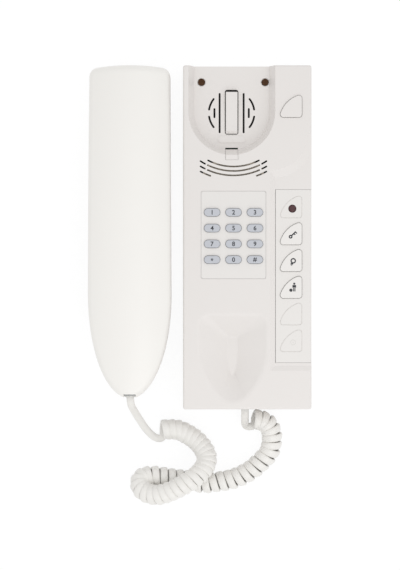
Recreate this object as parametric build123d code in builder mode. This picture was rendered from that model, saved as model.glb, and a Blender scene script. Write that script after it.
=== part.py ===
"""Audio intercom: a wall base with keypad and function buttons, its lift-off handset and a curly cord.

Millimetres. The base lies on its back on z = 0 with its front face up, its top towards +Y. The origin is
the middle of the face that goes against the wall. The handset lies face down beside the base, at its left.
"""

import math
import os

from build123d import *

os.makedirs("parts", exist_ok=True)

# Wall base, overall
base_width = 84.0
base_height = 225.0
base_depth = 30.0
wall = 2.2
corner_radius = 1.5
face_edge_radius = 1.4
skirt_gap = 0.5
overrun = 6.0
clearance = 0.25
touch_gap = 0.15

# Places on the base: how far each axis lies from the left side, and each centre from the top edge
main_axis_inset = 33.0
cradle_axis_inset = 31.9
main_x = main_axis_inset - base_width / 2
cradle_x = cradle_axis_inset - base_width / 2
top_y = base_height / 2
bottom_y = -base_height / 2
right_x = base_width / 2

# Cradle for the earpiece end, open at the top edge
cradle_drop = 30.3
cradle_radius = 28.4
cradle_flank = 3.9
cradle_depth = 10.0
cradle_y = top_y - cradle_drop
cradle_floor = base_depth - cradle_depth

# Scoop for the mouthpiece end
scoop_inset = 32.5
scoop_top_drop = 163.0
scoop_half_width = 22.4
scoop_side = 26.5
scoop_tip = 31.2
scoop_depth = 10.0
scoop_floor_half = 3.3
scoop_wall_run = 15.0
scoop_floor_tip = 13.0
scoop_shoulder_share = (0.71, 0.57)
scoop_chin_share = (0.40, 0.86)
scoop_rim_corner = 7.0
scoop_floor_corner = 1.5
scoop_rim_edge = 5.0
scoop_floor_edge = 2.0
scoop_x = scoop_inset - base_width / 2
scoop_top = top_y - scoop_top_drop
scoop_turn = scoop_top - scoop_side

# Right-hand column, lower than the face
column_left = 14.8
column_drop = 1.6
column_bevel = 3.3
column_foot = 25.2
shoulder_x = 16.1
shoulder_drop = 45.7
shoulder_radius = 22.9
shoulder_spread = 5.2
column_face = base_depth - column_drop

# Function panel in the column, and its row of places for buttons
panel_width = 23.7
panel_top_drop = 81.2
panel_length = 113.4
panel_thickness = 2.0
panel_ledge = 1.5
panel_shelf = 1.8
panel_seam = 0.3
button_x = 28.6
panel_head = 11.5
panel_foot = 14.4
place_count = 6
button_gap = 3.3
button_corner = 1.9
button_proud = 1.2
button_flange = 0.9
button_flange_height = 1.1
button_travel = 0.6
button_edge = 0.5
outline_groove = 0.35
call_button_drop = 27.0
button_pitch = (panel_length - panel_head - panel_foot) / (place_count - 1)
button_size = button_pitch - button_gap
panel_y = top_y - panel_top_drop - panel_length / 2
panel_x = right_x - panel_width / 2
panel_under = column_face - panel_thickness

# Keypad
plate_width = 42.5
plate_height = 57.4
plate_thickness = 1.0
plate_corner = 1.3
plate_drop = 111.0
plate_ledge = 1.2
key_pitch_x = 14.0
key_pitch_y = 10.3
key_row_drop = 111.7
key_length = 10.3
key_width = 5.0
key_proud = 1.4
key_flange = 0.7
key_flange_height = 1.6
key_travel = 0.7
key_edge = 0.45
mat_thickness = 1.0
mat_margin = 1.0
dome_gap = 0.15
key_names = ("1", "2", "3", "4", "5", "6", "7", "8", "9", "star", "0", "hash")
plate_y = top_y - plate_drop
plate_under = base_depth - plate_thickness
key_rows_y = top_y - key_row_drop

# Circuit boards, their screws and pillars
board_thickness = 1.6
key_board_top = 22.2
key_board_margin = 1.2
main_board_under = 8.0
main_board_side_gap = 3.8
main_board_foot_gap = 2.3
main_board_head_gap = 2.2
board_screw_radius = 1.5
board_head_radius = 2.8
board_head_height = 1.3
board_screw_length = 5.0
pillar_radius = 3.2
pillar_inset = 5.0
main_board_top = main_board_under + board_thickness
key_board_under = key_board_top - board_thickness

# Light and tact switches on the key board
light_x = 29.5
light_drop = 93.75
light_radius = 2.5
light_flange = 0.45
light_flange_height = 1.0
light_proud = 0.4
switch_size = 6.0
switch_height = 1.4
switch_stem_radius = 1.6

# Hook lever, its pivot, spring and switch
lever_width = 7.7
lever_length = 27.3
lever_side_gap = 0.6
lever_top_gap = 1.6
lever_pivot_drop = 42.5
lever_pivot_depth = 15.5
lever_free_rise = 3.5
lever_heel_rise = 1.5
lever_thickness = 3.4
lever_hub_radius = 2.5
lever_heel = 1.7
pin_radius = 1.0
pin_running = 0.05
ear_thickness = 2.0
ear_gap = 0.4
hook_switch_size = (6.0, 9.0)
hook_switch_reach = 9.5
plunger_reach = 8.0
plunger_radius = 0.9
plunger_rise = 1.6
plunger_length = 3.6
spring_reach = 17.5
spring_radius = 2.6
spring_wire = 0.6
spring_turns = 6
pivot_y = top_y - lever_pivot_drop
pivot_z = base_depth - lever_pivot_depth

# Cradle grille, rest pad, handset tab
grille_slot = 1.3
grille_bar_offsets = (7.9, 11.3)
grille_bar_lengths = (26.5, 6.6)
grille_arc_radius = 15.0
grille_arc_angles = (9.0, 38.0)
grille_drop = 30.6
pad_width = 17.8
pad_height = 4.3
pad_rise = 0.6
pad_drop = 47.9
tab_width = 8.0
tab_rise = 0.3
tab_slot = 1.0
tab_back_drop = 61.8
tab_front_drop = 54.5
tab_foot = 1.4
cloth_thickness = 0.5
cloth_margin = 2.0
grille_y = top_y - grille_drop

# Curved ringer slots and the loudspeaker under them
ringer_slot = 1.1
ringer_centre_drop = 30.0
ringer_radii = (36.3, 39.2, 42.1, 45.0)
ringer_slot_half = 21.5
ringer_first_half = 16.6
ringer_last_half = 15.2
ringer_bridge_width = 0.9
ringer_width = 40.0
ringer_height = 17.6
ringer_drop = 72.0
ringer_depth = 5.0
ringer_rim = 1.6
ringer_cone_thickness = 0.5
ringer_cone_sink = 1.6
ringer_magnet_radius = 6.5
ringer_magnet_depth = 3.2

# Cover screws into the rear plate
cover_screw_half_span = 20.95
cover_screw_drop = 10.3
cover_head_radius = 2.25
cover_head_rim = 0.5
cover_head_height = 1.1
cover_screw_radius = 1.5
cover_screw_length = 11.0
cover_pillar_radius = 4.0
head_slot_width = 0.8
head_slot_depth = 0.5
cross_slot_length = 3.6

# Rear plate: wall screw holes and cable entry
plate_floor = 2.2
plate_lip = 6.0
lip_thickness = 1.6
wall_hole_spacing = 83.5
wall_hole_radius = 2.25
access_radius = 5.0
entry_size = 20.0
entry_x = 24.0
terminal_size = (20.0, 8.0, 9.0)
terminal_ways = 4
terminal_screw_radius = 1.5
terminal_screw_height = 1.0
terminal_gap = 3.0

# Modular jacks and plugs of the curly cord
plug_width = 7.6
plug_height = 6.6
plug_length = 11.5
jack_wall = 1.6
jack_depth = 12.0
jack_height = 10.6
base_jack_x = -1.1
base_jack_z = 10.0
plug_stand_out = 0.8
plug_front_gap = 0.6
contact_count = 4
contact_pitch = 1.02
contact_width = 0.4
contact_depth = 0.5

# Handset, lying face down
handset_x = -76.9
handset_top_gap = 0.1
handset_length = 217.9
handset_half_width = 27.3
handset_top_half = 26.5
handset_height = 44.0
handset_wall = 2.0
handset_crown_drop = 100.4
crown_long_radius = 600.0
crown_cross_radius = 44.0
crown_edge_radius = 6.0
handset_corner = 6.3
handset_end_rise = 1.8
cheek_start_rise = 67.4
belly_drop = 122.4
belly_radius = 772.0
belly_height = 16.0
belly_edge_radius = 3.0
split_height = 23.0
seam = 0.15
notch_half_width = 4.0
notch_depth = 2.9

# Earpiece boss and what it holds
ear_boss_radius = 23.2
ear_boss_taper = 3.0
ear_boss_edge = 1.2
ear_boss_hole_rings = (5.0, 10.0)
ear_boss_hole_radius = 1.2
ear_boss_hole_counts = (6, 12)
capsule_radius = 18.0
capsule_height = 7.0
capsule_wall = 1.2
capsule_cone_thickness = 0.5
capsule_magnet_radius = 8.0
capsule_magnet_height = 3.6
gasket_width = 3.0
gasket_height = 1.5

# Mouthpiece boss and what it holds
mouth_half_width = 19.5
mouth_top_rise = 53.7
mouth_slope = 14.0
mouth_flat = 14.0
mouth_tip_rise = 3.5
mouth_tip_height = 8.6
mouth_inset = 2.2
mic_radius = 4.85
mic_height = 5.0
mic_boot = 1.4
mic_rise = 32.45
mic_slot_length = 9.0
mic_slot_pitch = 3.0
mic_slot_count = 3
mic_slot_width = 1.2
mic_front_gap = 0.6

# Handset weight and screws
weight_size = (16.0, 46.0, 7.0)
upper_screw_drop = 65.9
lower_screw_rise = 72.0
handset_screw_radius = 1.4
handset_head_radius = 2.7
handset_head_height = 1.4
handset_screw_length = 16.0
handset_pillar_radius = 4.2
handset_head_sink = 0.4
handset_jack_width = 9.2
handset_jack_height = 8.4
handset_jack_z = 17.2
handset_plug_sink = 1.5

# Curly cord: wire, coil and the tubes' straight ends
cord_diameter = 3.0
coil_radius = 5.35
coil_free_pitch = 5.1
coil_least_gap = 0.6
cord_end = 3.0
lead_arc_share = 0.45


def save(piece, node_name):
    """Labels a finished piece and writes it under its own name."""
    piece.label = node_name
    export_step(piece, f"parts/{node_name}.step")
    print(f"{node_name}: {len(piece.solids())} solids, {piece.volume:.1f} mm3")


# Shapes that several pieces share


def cradle_outline(radius, height):
    """U-shaped outline of the cradle at one height, running out past the top edge."""
    with BuildSketch(Plane.XY.offset(height)) as outline:
        with BuildLine():
            Line((cradle_x + radius, cradle_y), (cradle_x + radius, top_y + overrun))
            Line((cradle_x + radius, top_y + overrun), (cradle_x - radius, top_y + overrun))
            Line((cradle_x - radius, top_y + overrun), (cradle_x - radius, cradle_y))
            ThreePointArc(
                (cradle_x - radius, cradle_y), (cradle_x, cradle_y - radius), (cradle_x + radius, cradle_y)
            )
        make_face()
    return outline.sketch


def cradle_volume(skin):
    """The cradle's hollow, or with a skin the space that the cover's wall keeps round it."""
    floor = cradle_outline(cradle_radius - cradle_flank + skin, cradle_floor - skin)
    rim = cradle_outline(cradle_radius + skin, base_depth)
    return loft([floor.face(), rim.face()], ruled=True)


def scoop_outline(half_width, tip, top, corner, height):
    """Shield outline of the scoop at one height: straight top and sides, rounded corners and tip."""
    shoulder = (scoop_shoulder_share[0] * half_width, scoop_turn - scoop_shoulder_share[1] * tip)
    chin = (scoop_chin_share[0] * half_width, scoop_turn - scoop_chin_share[1] * tip)
    with BuildSketch(Plane.XY.offset(height)) as outline:
        with BuildLine():
            Line((scoop_x - half_width, top), (scoop_x + half_width, top))
            Line((scoop_x + half_width, top), (scoop_x + half_width, scoop_turn))
            ThreePointArc(
                (scoop_x + half_width, scoop_turn),
                (scoop_x + shoulder[0], shoulder[1]),
                (scoop_x + chin[0], chin[1]),
            )
            ThreePointArc(
                (scoop_x + chin[0], chin[1]), (scoop_x, scoop_turn - tip), (scoop_x - chin[0], chin[1])
            )
            ThreePointArc(
                (scoop_x - chin[0], chin[1]),
                (scoop_x - shoulder[0], shoulder[1]),
                (scoop_x - half_width, scoop_turn),
            )
            Line((scoop_x - half_width, scoop_turn), (scoop_x - half_width, top))
        make_face()
        fillet(outline.vertices().group_by(Axis.Y)[-1], corner)
    return outline.sketch


def scoop_volume(skin):
    """The scoop's hollow, or with a skin the space that the cover's wall keeps round it."""
    floor = scoop_outline(
        scoop_floor_half + skin,
        scoop_floor_tip + skin,
        scoop_top - scoop_wall_run + skin,
        scoop_floor_corner + skin,
        base_depth - scoop_depth - skin,
    )
    rim = scoop_outline(
        scoop_half_width + skin,
        scoop_tip + skin,
        scoop_top + skin,
        scoop_rim_corner + skin,
        base_depth,
    )
    return loft([floor.face(), rim.face()], ruled=True)


def column_outline(left, foot, radius, height):
    """Outline of the low right-hand column at one height, running out past the right side."""
    shoulder_y = top_y - shoulder_drop
    rise = math.sqrt(radius**2 - (left - shoulder_x) ** 2)
    diagonal = radius * math.sin(math.radians(45))
    outer = right_x + overrun
    with BuildSketch(Plane.XY.offset(height)) as outline:
        with BuildLine():
            Line((left, foot), (left, shoulder_y - rise))
            ThreePointArc(
                (left, shoulder_y - rise),
                (shoulder_x + diagonal, shoulder_y - diagonal),
                (shoulder_x + radius, shoulder_y),
            )
            Line((shoulder_x + radius, shoulder_y), (outer, shoulder_y + overrun))
            Line((outer, shoulder_y + overrun), (outer, foot))
            Line((outer, foot), (left, foot))
        make_face()
    return outline.sketch


def column_volume(sink):
    """The space over the low column; sink lowers it to leave a wall or shelf below."""
    foot = bottom_y + column_foot
    floor = column_outline(
        column_left + column_bevel - sink,
        foot + column_bevel - sink,
        shoulder_radius + shoulder_spread,
        column_face - sink,
    )
    rim = column_outline(column_left - sink, foot - sink, shoulder_radius, base_depth)
    return loft([floor.face(), rim.face()], ruled=True)


def button_outline(grow):
    """Function button seen from the front: upright right side, flat foot and a bulged slope."""
    half = button_size / 2
    slope_shares = ((-0.49, -0.33), (-0.14, 0.225), (0.32, 0.5))
    slope = [(x * button_size, y * button_size) for x, y in slope_shares]
    with BuildSketch() as outline:
        with BuildLine():
            ThreePointArc(*slope)
            corners = (slope[2], (half, half), (half, -half), (-half, -half), slope[0])
            FilletPolyline(*corners, radius=button_corner)
        make_face()
        if grow:
            offset(amount=grow, kind=Kind.ARC)
    return outline.sketch


def place_y(index):
    """Height of one of the panel's button places, counted from its top one."""
    return top_y - panel_top_drop - panel_head - index * button_pitch


def key_places():
    """Middle of each key, row by row from the top left."""
    return [
        (main_x + (column - 1) * key_pitch_x, key_rows_y + (1.5 - row) * key_pitch_y)
        for row in range(4)
        for column in range(3)
    ]


def coil_of_arcs(stations):
    """Chain of circular arcs through points with headings: two arcs, tangent to each other, per step."""
    edges = []
    for (start, heading), (end, arrival) in zip(stations, stations[1:]):
        chord = end - start
        sum_heading = heading + arrival
        along = chord.dot(sum_heading)
        spread = 2 * (1 - heading.dot(arrival))
        if spread < 1e-9:
            reach = chord.dot(chord) / (2 * along)
        else:
            reach = (math.sqrt(along**2 + spread * chord.dot(chord)) - along) / spread
        first_handle = start + heading * reach
        second_handle = end - arrival * reach
        joint = (first_handle + second_handle) * 0.5
        for a, handle, b in ((start, first_handle, joint), (joint, second_handle, end)):
            half_chord = (b - a).length / 2
            half_turn = math.acos(min(1.0, half_chord / (handle - a).length))
            middle = (a + b) * 0.5
            if half_turn < 1e-4:
                edges.append(Edge.make_line(a, b))
                continue
            bulge = half_chord * math.tan(half_turn / 2)
            outward = (handle - middle).normalized()
            edges.append(Edge.make_three_point_arc(a, middle + outward * bulge, b))
    return edges


# Front cover

panel_window_left = right_x - panel_width + panel_ledge
panel_window_right = right_x - wall - clearance
keypad_window_width = plate_width - 2 * plate_ledge
keypad_window_height = plate_height - 2 * plate_ledge
ear_offset = lever_width / 2 + ear_gap + ear_thickness / 2
cover_screw_places = [
    (main_x - cover_screw_half_span, top_y - cover_screw_drop),
    (main_x + cover_screw_half_span, top_y - cover_screw_drop),
]
key_board_left = key_board_margin + wall - base_width / 2
key_board_column = right_x - panel_width + clearance
key_board_right = right_x - wall - 2 * clearance
key_board_high = top_y - pillar_inset - wall
key_board_low = bottom_y + column_foot
key_board_screw_places = [
    (key_board_right - pillar_inset, key_board_high - pillar_inset),
    (key_board_right - pillar_inset, top_y - panel_top_drop + pillar_inset),
    (key_board_right - pillar_inset, key_board_low + pillar_inset / 2),
    (key_board_left + pillar_inset, plate_y),
]

with BuildPart() as cavity:
    with BuildSketch(Plane.XY.offset(-overrun)):
        Rectangle(base_width - 2 * wall, base_height - 2 * wall)
    extrude(amount=overrun + base_depth - wall)
    add(column_volume(panel_thickness + panel_shelf), mode=Mode.SUBTRACT)
    add(cradle_volume(wall), mode=Mode.SUBTRACT)
    add(scoop_volume(wall), mode=Mode.SUBTRACT)
    with BuildSketch(Plane.XY.offset(key_board_top)):
        with Locations(*key_board_screw_places):
            Circle(pillar_radius)
    extrude(amount=base_depth - key_board_top, mode=Mode.SUBTRACT)
    with BuildSketch(Plane.YZ.offset(cradle_x - ear_offset - ear_thickness / 2)):
        with Locations((pivot_y, (pivot_z + cradle_floor) / 2)):
            Rectangle(2 * lever_hub_radius, cradle_floor - pivot_z + 2 * lever_hub_radius)
    extrude(amount=ear_thickness, mode=Mode.SUBTRACT)
    with BuildSketch(Plane.YZ.offset(cradle_x + ear_offset - ear_thickness / 2)):
        with Locations((pivot_y, (pivot_z + cradle_floor) / 2)):
            Rectangle(2 * lever_hub_radius, cradle_floor - pivot_z + 2 * lever_hub_radius)
    extrude(amount=ear_thickness, mode=Mode.SUBTRACT)


lever_opening_width = lever_width + 2 * lever_side_gap
lever_low_y = pivot_y - lever_heel
lever_high_y = lever_low_y + lever_length
lever_opening_low = lever_low_y - lever_side_gap
lever_opening_high = lever_high_y + lever_top_gap
lever_opening_y = (lever_opening_low + lever_opening_high) / 2

ringer_spans = [(0, -ringer_first_half, ringer_first_half)]
for ring in (1, 2):
    bridge = ringer_first_half + ringer_slot
    ringer_spans.append((ring, -bridge + ringer_bridge_width, bridge - ringer_bridge_width))
    ringer_spans.append((ring, bridge + ringer_bridge_width, ringer_slot_half))
    ringer_spans.append((ring, -ringer_slot_half, -bridge - ringer_bridge_width))
ringer_spans.append((3, ringer_last_half, ringer_slot_half))
ringer_spans.append((3, -ringer_slot_half, -ringer_last_half))

with BuildPart() as scoop:
    add(scoop_volume(0))
    fillet(scoop.faces().sort_by(Axis.Z)[0].edges(), scoop_floor_edge)

with BuildPart() as front_cover:
    with BuildSketch(Plane.XY.offset(skirt_gap)):
        Rectangle(base_width, base_height)
    extrude(amount=base_depth - skirt_gap)
    fillet(front_cover.edges().filter_by(Axis.Z), corner_radius)
    fillet(front_cover.faces().sort_by(Axis.Z)[-1].edges(), face_edge_radius)
    add(column_volume(0), mode=Mode.SUBTRACT)
    add(cavity.part, mode=Mode.SUBTRACT)
    add(cradle_volume(0), mode=Mode.SUBTRACT)
    add(scoop.part, mode=Mode.SUBTRACT)
    fillet(front_cover.faces().sort_by(Axis.Z)[-1].inner_wires()[0].edges(), scoop_rim_edge)
    # seat and window of the function panel
    with BuildSketch(Plane.XY.offset(panel_under)):
        with Locations((panel_x + overrun / 2, panel_y)):
            Rectangle(panel_width + overrun, panel_length)
    extrude(amount=overrun, mode=Mode.SUBTRACT)
    with BuildSketch(Plane.XY.offset(panel_under - overrun)):
        with Locations(((panel_window_left + panel_window_right) / 2, panel_y)):
            Rectangle(panel_window_right - panel_window_left, panel_length - 2 * panel_ledge)
    extrude(amount=2 * overrun, mode=Mode.SUBTRACT)
    # seat and window of the keypad plate
    with BuildSketch(Plane.XY.offset(plate_under)):
        with Locations((main_x, plate_y)):
            RectangleRounded(plate_width, plate_height, plate_corner)
    extrude(amount=overrun, mode=Mode.SUBTRACT)
    with BuildSketch(Plane.XY.offset(plate_under - overrun)):
        with Locations((main_x, plate_y)):
            RectangleRounded(keypad_window_width, keypad_window_height, plate_corner)
    extrude(amount=2 * overrun, mode=Mode.SUBTRACT)
    # hole of the upper button
    with BuildSketch(Plane.XY.offset(base_depth - wall - overrun)):
        with Locations((button_x, top_y - call_button_drop)):
            add(button_outline(clearance))
    extrude(amount=wall + 2 * overrun, mode=Mode.SUBTRACT)
    # curved slots of the ringer
    with BuildSketch(Plane.XY.offset(base_depth - wall - overrun)):
        for ring, low, high in ringer_spans:
            radius = ringer_radii[ring]
            start = math.degrees(math.asin(low / radius)) - 90
            size = math.degrees(math.asin(high / radius) - math.asin(low / radius))
            with Locations((main_x, top_y - ringer_centre_drop)):
                SlotArc(CenterArc((0, 0), radius, start, size), ringer_slot)
    extrude(amount=wall + 2 * overrun, mode=Mode.SUBTRACT)
    # opening of the hook lever, and the sound slots either side of it
    with BuildSketch(Plane.XY.offset(cradle_floor - wall - overrun)):
        with Locations((cradle_x, lever_opening_y)):
            RectangleRounded(lever_opening_width, lever_opening_high - lever_opening_low, corner_radius)
        for side in (-1, 1):
            for bar_offset, length in zip(grille_bar_offsets, grille_bar_lengths):
                with Locations((cradle_x + side * bar_offset, grille_y)):
                    SlotOverall(length, grille_slot, rotation=90)
            for up in (-1, 1):
                start = 180 * (side < 0) + side * up * grille_arc_angles[0]
                size = side * up * (grille_arc_angles[1] - grille_arc_angles[0])
                with Locations((cradle_x, grille_y)):
                    SlotArc(CenterArc((0, 0), grille_arc_radius, start, size), grille_slot)
    extrude(amount=wall + 2 * overrun, mode=Mode.SUBTRACT)
    # raised pad under the lever
    with BuildSketch(Plane.XY.offset(cradle_floor - wall / 2)):
        with Locations((cradle_x, top_y - pad_drop)):
            SlotOverall(pad_width, pad_height)
    extrude(amount=wall / 2 + pad_rise)
    # channel of the handset tab
    with BuildSketch(Plane.XY.offset(cradle_floor - wall - overrun)):
        with Locations((cradle_x, top_y - (tab_back_drop + tab_front_drop - tab_slot) / 2)):
            Rectangle(tab_width + 2 * touch_gap, tab_back_drop - tab_front_drop + tab_slot + touch_gap)
    extrude(amount=base_depth - cradle_floor + wall + 2 * overrun, mode=Mode.SUBTRACT)
    # holes of the two cover screws, their heads sunk into the cradle's floor
    with Locations(*[(x, y, cradle_floor) for x, y in cover_screw_places]):
        CounterBoreHole(
            cover_screw_radius + clearance,
            cover_head_radius + clearance,
            cover_head_height + clearance,
            2 * wall,
        )
        Cone(
            cover_head_radius + clearance,
            cover_head_radius + clearance + cover_head_rim,
            cover_head_rim,
            align=(Align.CENTER, Align.CENTER, Align.MAX),
            mode=Mode.SUBTRACT,
        )
    # holes of the key board's screws, up into their pillars
    with BuildSketch(Plane.XY.offset(key_board_top)):
        with Locations(*key_board_screw_places):
            Circle(board_screw_radius)
    extrude(amount=board_screw_length - board_thickness, mode=Mode.SUBTRACT)
    # holes of the lever's pin through its two ears
    with BuildSketch(Plane.YZ.offset(cradle_x - base_width / 4)):
        with Locations((pivot_y, pivot_z)):
            Circle(pin_radius)
    extrude(amount=base_width / 2, mode=Mode.SUBTRACT)
    # mouth of the cord jack in the bottom wall
    with BuildSketch(Plane.XZ.offset(-bottom_y - wall - overrun)):
        with Locations((base_jack_x, base_jack_z)):
            Rectangle(plug_width + 4 * clearance, plug_height + 4 * clearance)
    extrude(amount=wall + 2 * overrun, mode=Mode.SUBTRACT)

save(front_cover.part, "front_cover")

# Function panel: plate in its seat, holes for three buttons and the light, two blank places outlined

with BuildPart() as function_panel:
    with BuildSketch(Plane.XY.offset(panel_under)):
        with Locations((panel_x + (panel_seam - touch_gap) / 2, panel_y)):
            Rectangle(panel_width - panel_seam - touch_gap, panel_length - 2 * touch_gap)
    extrude(amount=panel_thickness)
    right_edges = function_panel.edges().filter_by(Axis.Y).group_by(Axis.X)[-1]
    fillet(right_edges.sort_by(Axis.Z)[-1], face_edge_radius)
    for index in (1, 2, 3):
        with BuildSketch(Plane.XY.offset(panel_under - overrun)):
            with Locations((button_x, place_y(index))):
                add(button_outline(clearance))
        extrude(amount=2 * overrun, mode=Mode.SUBTRACT)
    for index in (0, 4, 5):
        with BuildSketch(Plane.XY.offset(column_face - outline_groove)):
            with Locations((button_x, place_y(index))):
                add(button_outline(outline_groove / 2))
                add(button_outline(-outline_groove / 2), mode=Mode.SUBTRACT)
        extrude(amount=overrun, mode=Mode.SUBTRACT)
    with BuildSketch(Plane.XY.offset(panel_under - overrun)):
        with Locations((light_x, top_y - light_drop)):
            Circle(light_radius + touch_gap)
    extrude(amount=2 * overrun, mode=Mode.SUBTRACT)

save(function_panel.part, "function_panel")

# Keypad plate, its mat of silicone domes and the twelve keys

with BuildPart() as keypad_plate:
    with BuildSketch(Plane.XY.offset(plate_under)):
        with Locations((main_x, plate_y)):
            RectangleRounded(plate_width - 2 * touch_gap, plate_height - 2 * touch_gap, plate_corner)
        with Locations(*key_places()):
            SlotOverall(key_length + 2 * clearance, key_width + 2 * clearance, mode=Mode.SUBTRACT)
    extrude(amount=plate_thickness)

save(keypad_plate.part, "keypad_plate")

key_flange_top = plate_under - clearance
key_under = key_flange_top - key_flange_height
dome_top = key_under - key_travel - dome_gap

with BuildPart() as key_mat:
    with BuildSketch(Plane.XY.offset(key_board_top)):
        with Locations((main_x, plate_y)):
            RectangleRounded(plate_width - 2 * mat_margin, plate_height - 2 * mat_margin, plate_corner)
    extrude(amount=mat_thickness)
    with BuildSketch(Plane.XY.offset(key_board_top)):
        with Locations(*key_places()):
            SlotOverall(key_length, key_width)
    extrude(amount=dome_top - key_board_top)

save(key_mat.part, "key_mat")

for name, (x, y) in zip(key_names, key_places()):
    with BuildPart() as key:
        with BuildSketch(Plane.XY.offset(key_under)):
            with Locations((x, y)):
                SlotOverall(key_length + 2 * key_flange, key_width + 2 * key_flange)
        extrude(amount=key_flange_height)
        with BuildSketch(Plane.XY.offset(key_flange_top)):
            with Locations((x, y)):
                SlotOverall(key_length, key_width)
        extrude(amount=base_depth + key_proud - key_flange_top)
        fillet(key.faces().sort_by(Axis.Z)[-1].edges(), key_edge)
    save(key.part, f"key_{name}")

# Function buttons: three in the panel, one blank in the cover above it

panel_buttons = [
    ("door_button", place_y(1), panel_under, column_face),
    ("light_button", place_y(2), panel_under, column_face),
    ("service_button", place_y(3), panel_under, column_face),
    ("call_button", top_y - call_button_drop, base_depth - wall, base_depth),
]
for name, y, guide_under, face in panel_buttons:
    flange_top = guide_under - clearance
    with BuildPart() as button:
        with BuildSketch(Plane.XY.offset(flange_top - button_flange_height)):
            with Locations((button_x, y)):
                add(button_outline(button_flange))
        extrude(amount=button_flange_height)
        with BuildSketch(Plane.XY.offset(flange_top)):
            with Locations((button_x, y)):
                add(button_outline(0))
        extrude(amount=face + button_proud - flange_top)
        fillet(button.faces().sort_by(Axis.Z)[-1].edges(), button_edge)
        switch_top = key_board_top + switch_height + button_travel
        stem_low = switch_top + button_travel + touch_gap
        with BuildSketch(Plane.XY.offset(stem_low)):
            with Locations((button_x, y)):
                Circle(switch_stem_radius)
        extrude(amount=flange_top - stem_low)
    save(button.part, name)

# Key board in the shape of a C, its tact switches and the light

with BuildPart() as key_board:
    with BuildSketch(Plane.XY.offset(key_board_under)):
        with Locations((key_board_column, key_board_low)):
            Rectangle(
                key_board_right - key_board_column,
                key_board_high - key_board_low,
                align=(Align.MIN, Align.MIN),
            )
        with Locations((key_board_left, plate_y)):
            Rectangle(
                key_board_column - key_board_left,
                plate_height - clearance,
                align=(Align.MIN, Align.CENTER),
            )
    extrude(amount=board_thickness)
    with Locations(*[(x, y, key_board_top) for x, y in key_board_screw_places]):
        Hole(board_screw_radius + touch_gap, 2 * board_thickness)

save(key_board.part, "key_board")

with BuildPart() as tact_switches:
    places = [(button_x, y) for name, y, guide_under, face in panel_buttons]
    with BuildSketch(Plane.XY.offset(key_board_top)):
        with Locations(*places):
            Rectangle(switch_size, switch_size)
    extrude(amount=switch_height)
    with BuildSketch(Plane.XY.offset(key_board_top)):
        with Locations(*places):
            Circle(switch_stem_radius)
    extrude(amount=switch_height + button_travel)

save(tact_switches.part, "tact_switches")

with BuildPart() as status_light:
    with BuildSketch(Plane.XY.offset(key_board_top)):
        with Locations((light_x, top_y - light_drop)):
            Circle(light_radius + light_flange)
    extrude(amount=light_flange_height)
    with BuildSketch(Plane.XY.offset(key_board_top)):
        with Locations((light_x, top_y - light_drop)):
            Circle(light_radius)
    extrude(amount=column_face + light_proud - key_board_top)
    fillet(status_light.faces().sort_by(Axis.Z)[-1].edges(), light_radius / 2)

save(status_light.part, "status_light")

# Hook lever on its pin, with the return spring and the switch that it works

lever_top_line = cradle_floor + lever_free_rise - pivot_z
lever_heel_top = cradle_floor + lever_heel_rise - pivot_z
lever_reach = lever_length - lever_heel
under_rise = lever_hub_radius - clearance
under_end = lever_top_line - lever_thickness


def lever_underside(reach):
    """Height of the lever's underside above its pivot, at a distance along it."""
    run = lever_reach - lever_hub_radius
    return under_rise + (reach - lever_hub_radius) * (under_end - under_rise) / run


lever_shape = [
    (-lever_heel, 0),
    (-lever_heel, lever_heel_top - lever_heel_rise),
    (0, lever_heel_top),
    (lever_reach, lever_top_line),
    (lever_reach, under_end),
    (lever_hub_radius, under_rise),
    (0, 0),
]

with BuildPart() as hook_lever:
    with BuildSketch(Plane.YZ.offset(cradle_x - lever_width / 2)):
        with BuildLine():
            Polyline(*[(pivot_y + y, pivot_z + z) for y, z in lever_shape], close=True)
        make_face()
        with Locations((pivot_y, pivot_z)):
            Circle(lever_hub_radius)
    extrude(amount=lever_width)
    with BuildSketch(Plane.YZ.offset(cradle_x - lever_width)):
        with Locations((pivot_y, pivot_z)):
            Circle(pin_radius + pin_running)
    extrude(amount=2 * lever_width, mode=Mode.SUBTRACT)
    top_faces = [face for face in hook_lever.faces() if face.normal_at().Z > 0.9]
    fillet([edge for face in top_faces for edge in face.edges()], key_edge)

save(hook_lever.part, "hook_lever")

with BuildPart() as hook_pivot_pin:
    with BuildSketch(Plane.YZ.offset(cradle_x - ear_offset - ear_thickness / 2)):
        with Locations((pivot_y, pivot_z)):
            Circle(pin_radius)
    extrude(amount=2 * ear_offset + ear_thickness)

save(hook_pivot_pin.part, "hook_pivot_pin")

plunger_y = pivot_y + plunger_reach
plunger_top = pivot_z + lever_underside(plunger_reach - plunger_radius) - touch_gap
hook_switch_top = plunger_top - plunger_rise

with BuildPart() as hook_switch:
    with BuildSketch(Plane.XY.offset(main_board_top)):
        with Locations((cradle_x, pivot_y + hook_switch_reach)):
            Rectangle(*hook_switch_size)
    extrude(amount=hook_switch_top - main_board_top)
    with BuildSketch(Plane.XY.offset(hook_switch_top)):
        with Locations((cradle_x, plunger_y)):
            Circle(plunger_radius + pin_running)
    extrude(amount=main_board_top + board_thickness - hook_switch_top, mode=Mode.SUBTRACT)

save(hook_switch.part, "hook_switch")

with BuildPart() as switch_plunger:
    with BuildSketch(Plane.XY.offset(plunger_top)):
        with Locations((cradle_x, plunger_y)):
            Circle(plunger_radius)
    extrude(amount=-plunger_length)

save(switch_plunger.part, "switch_plunger")


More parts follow.
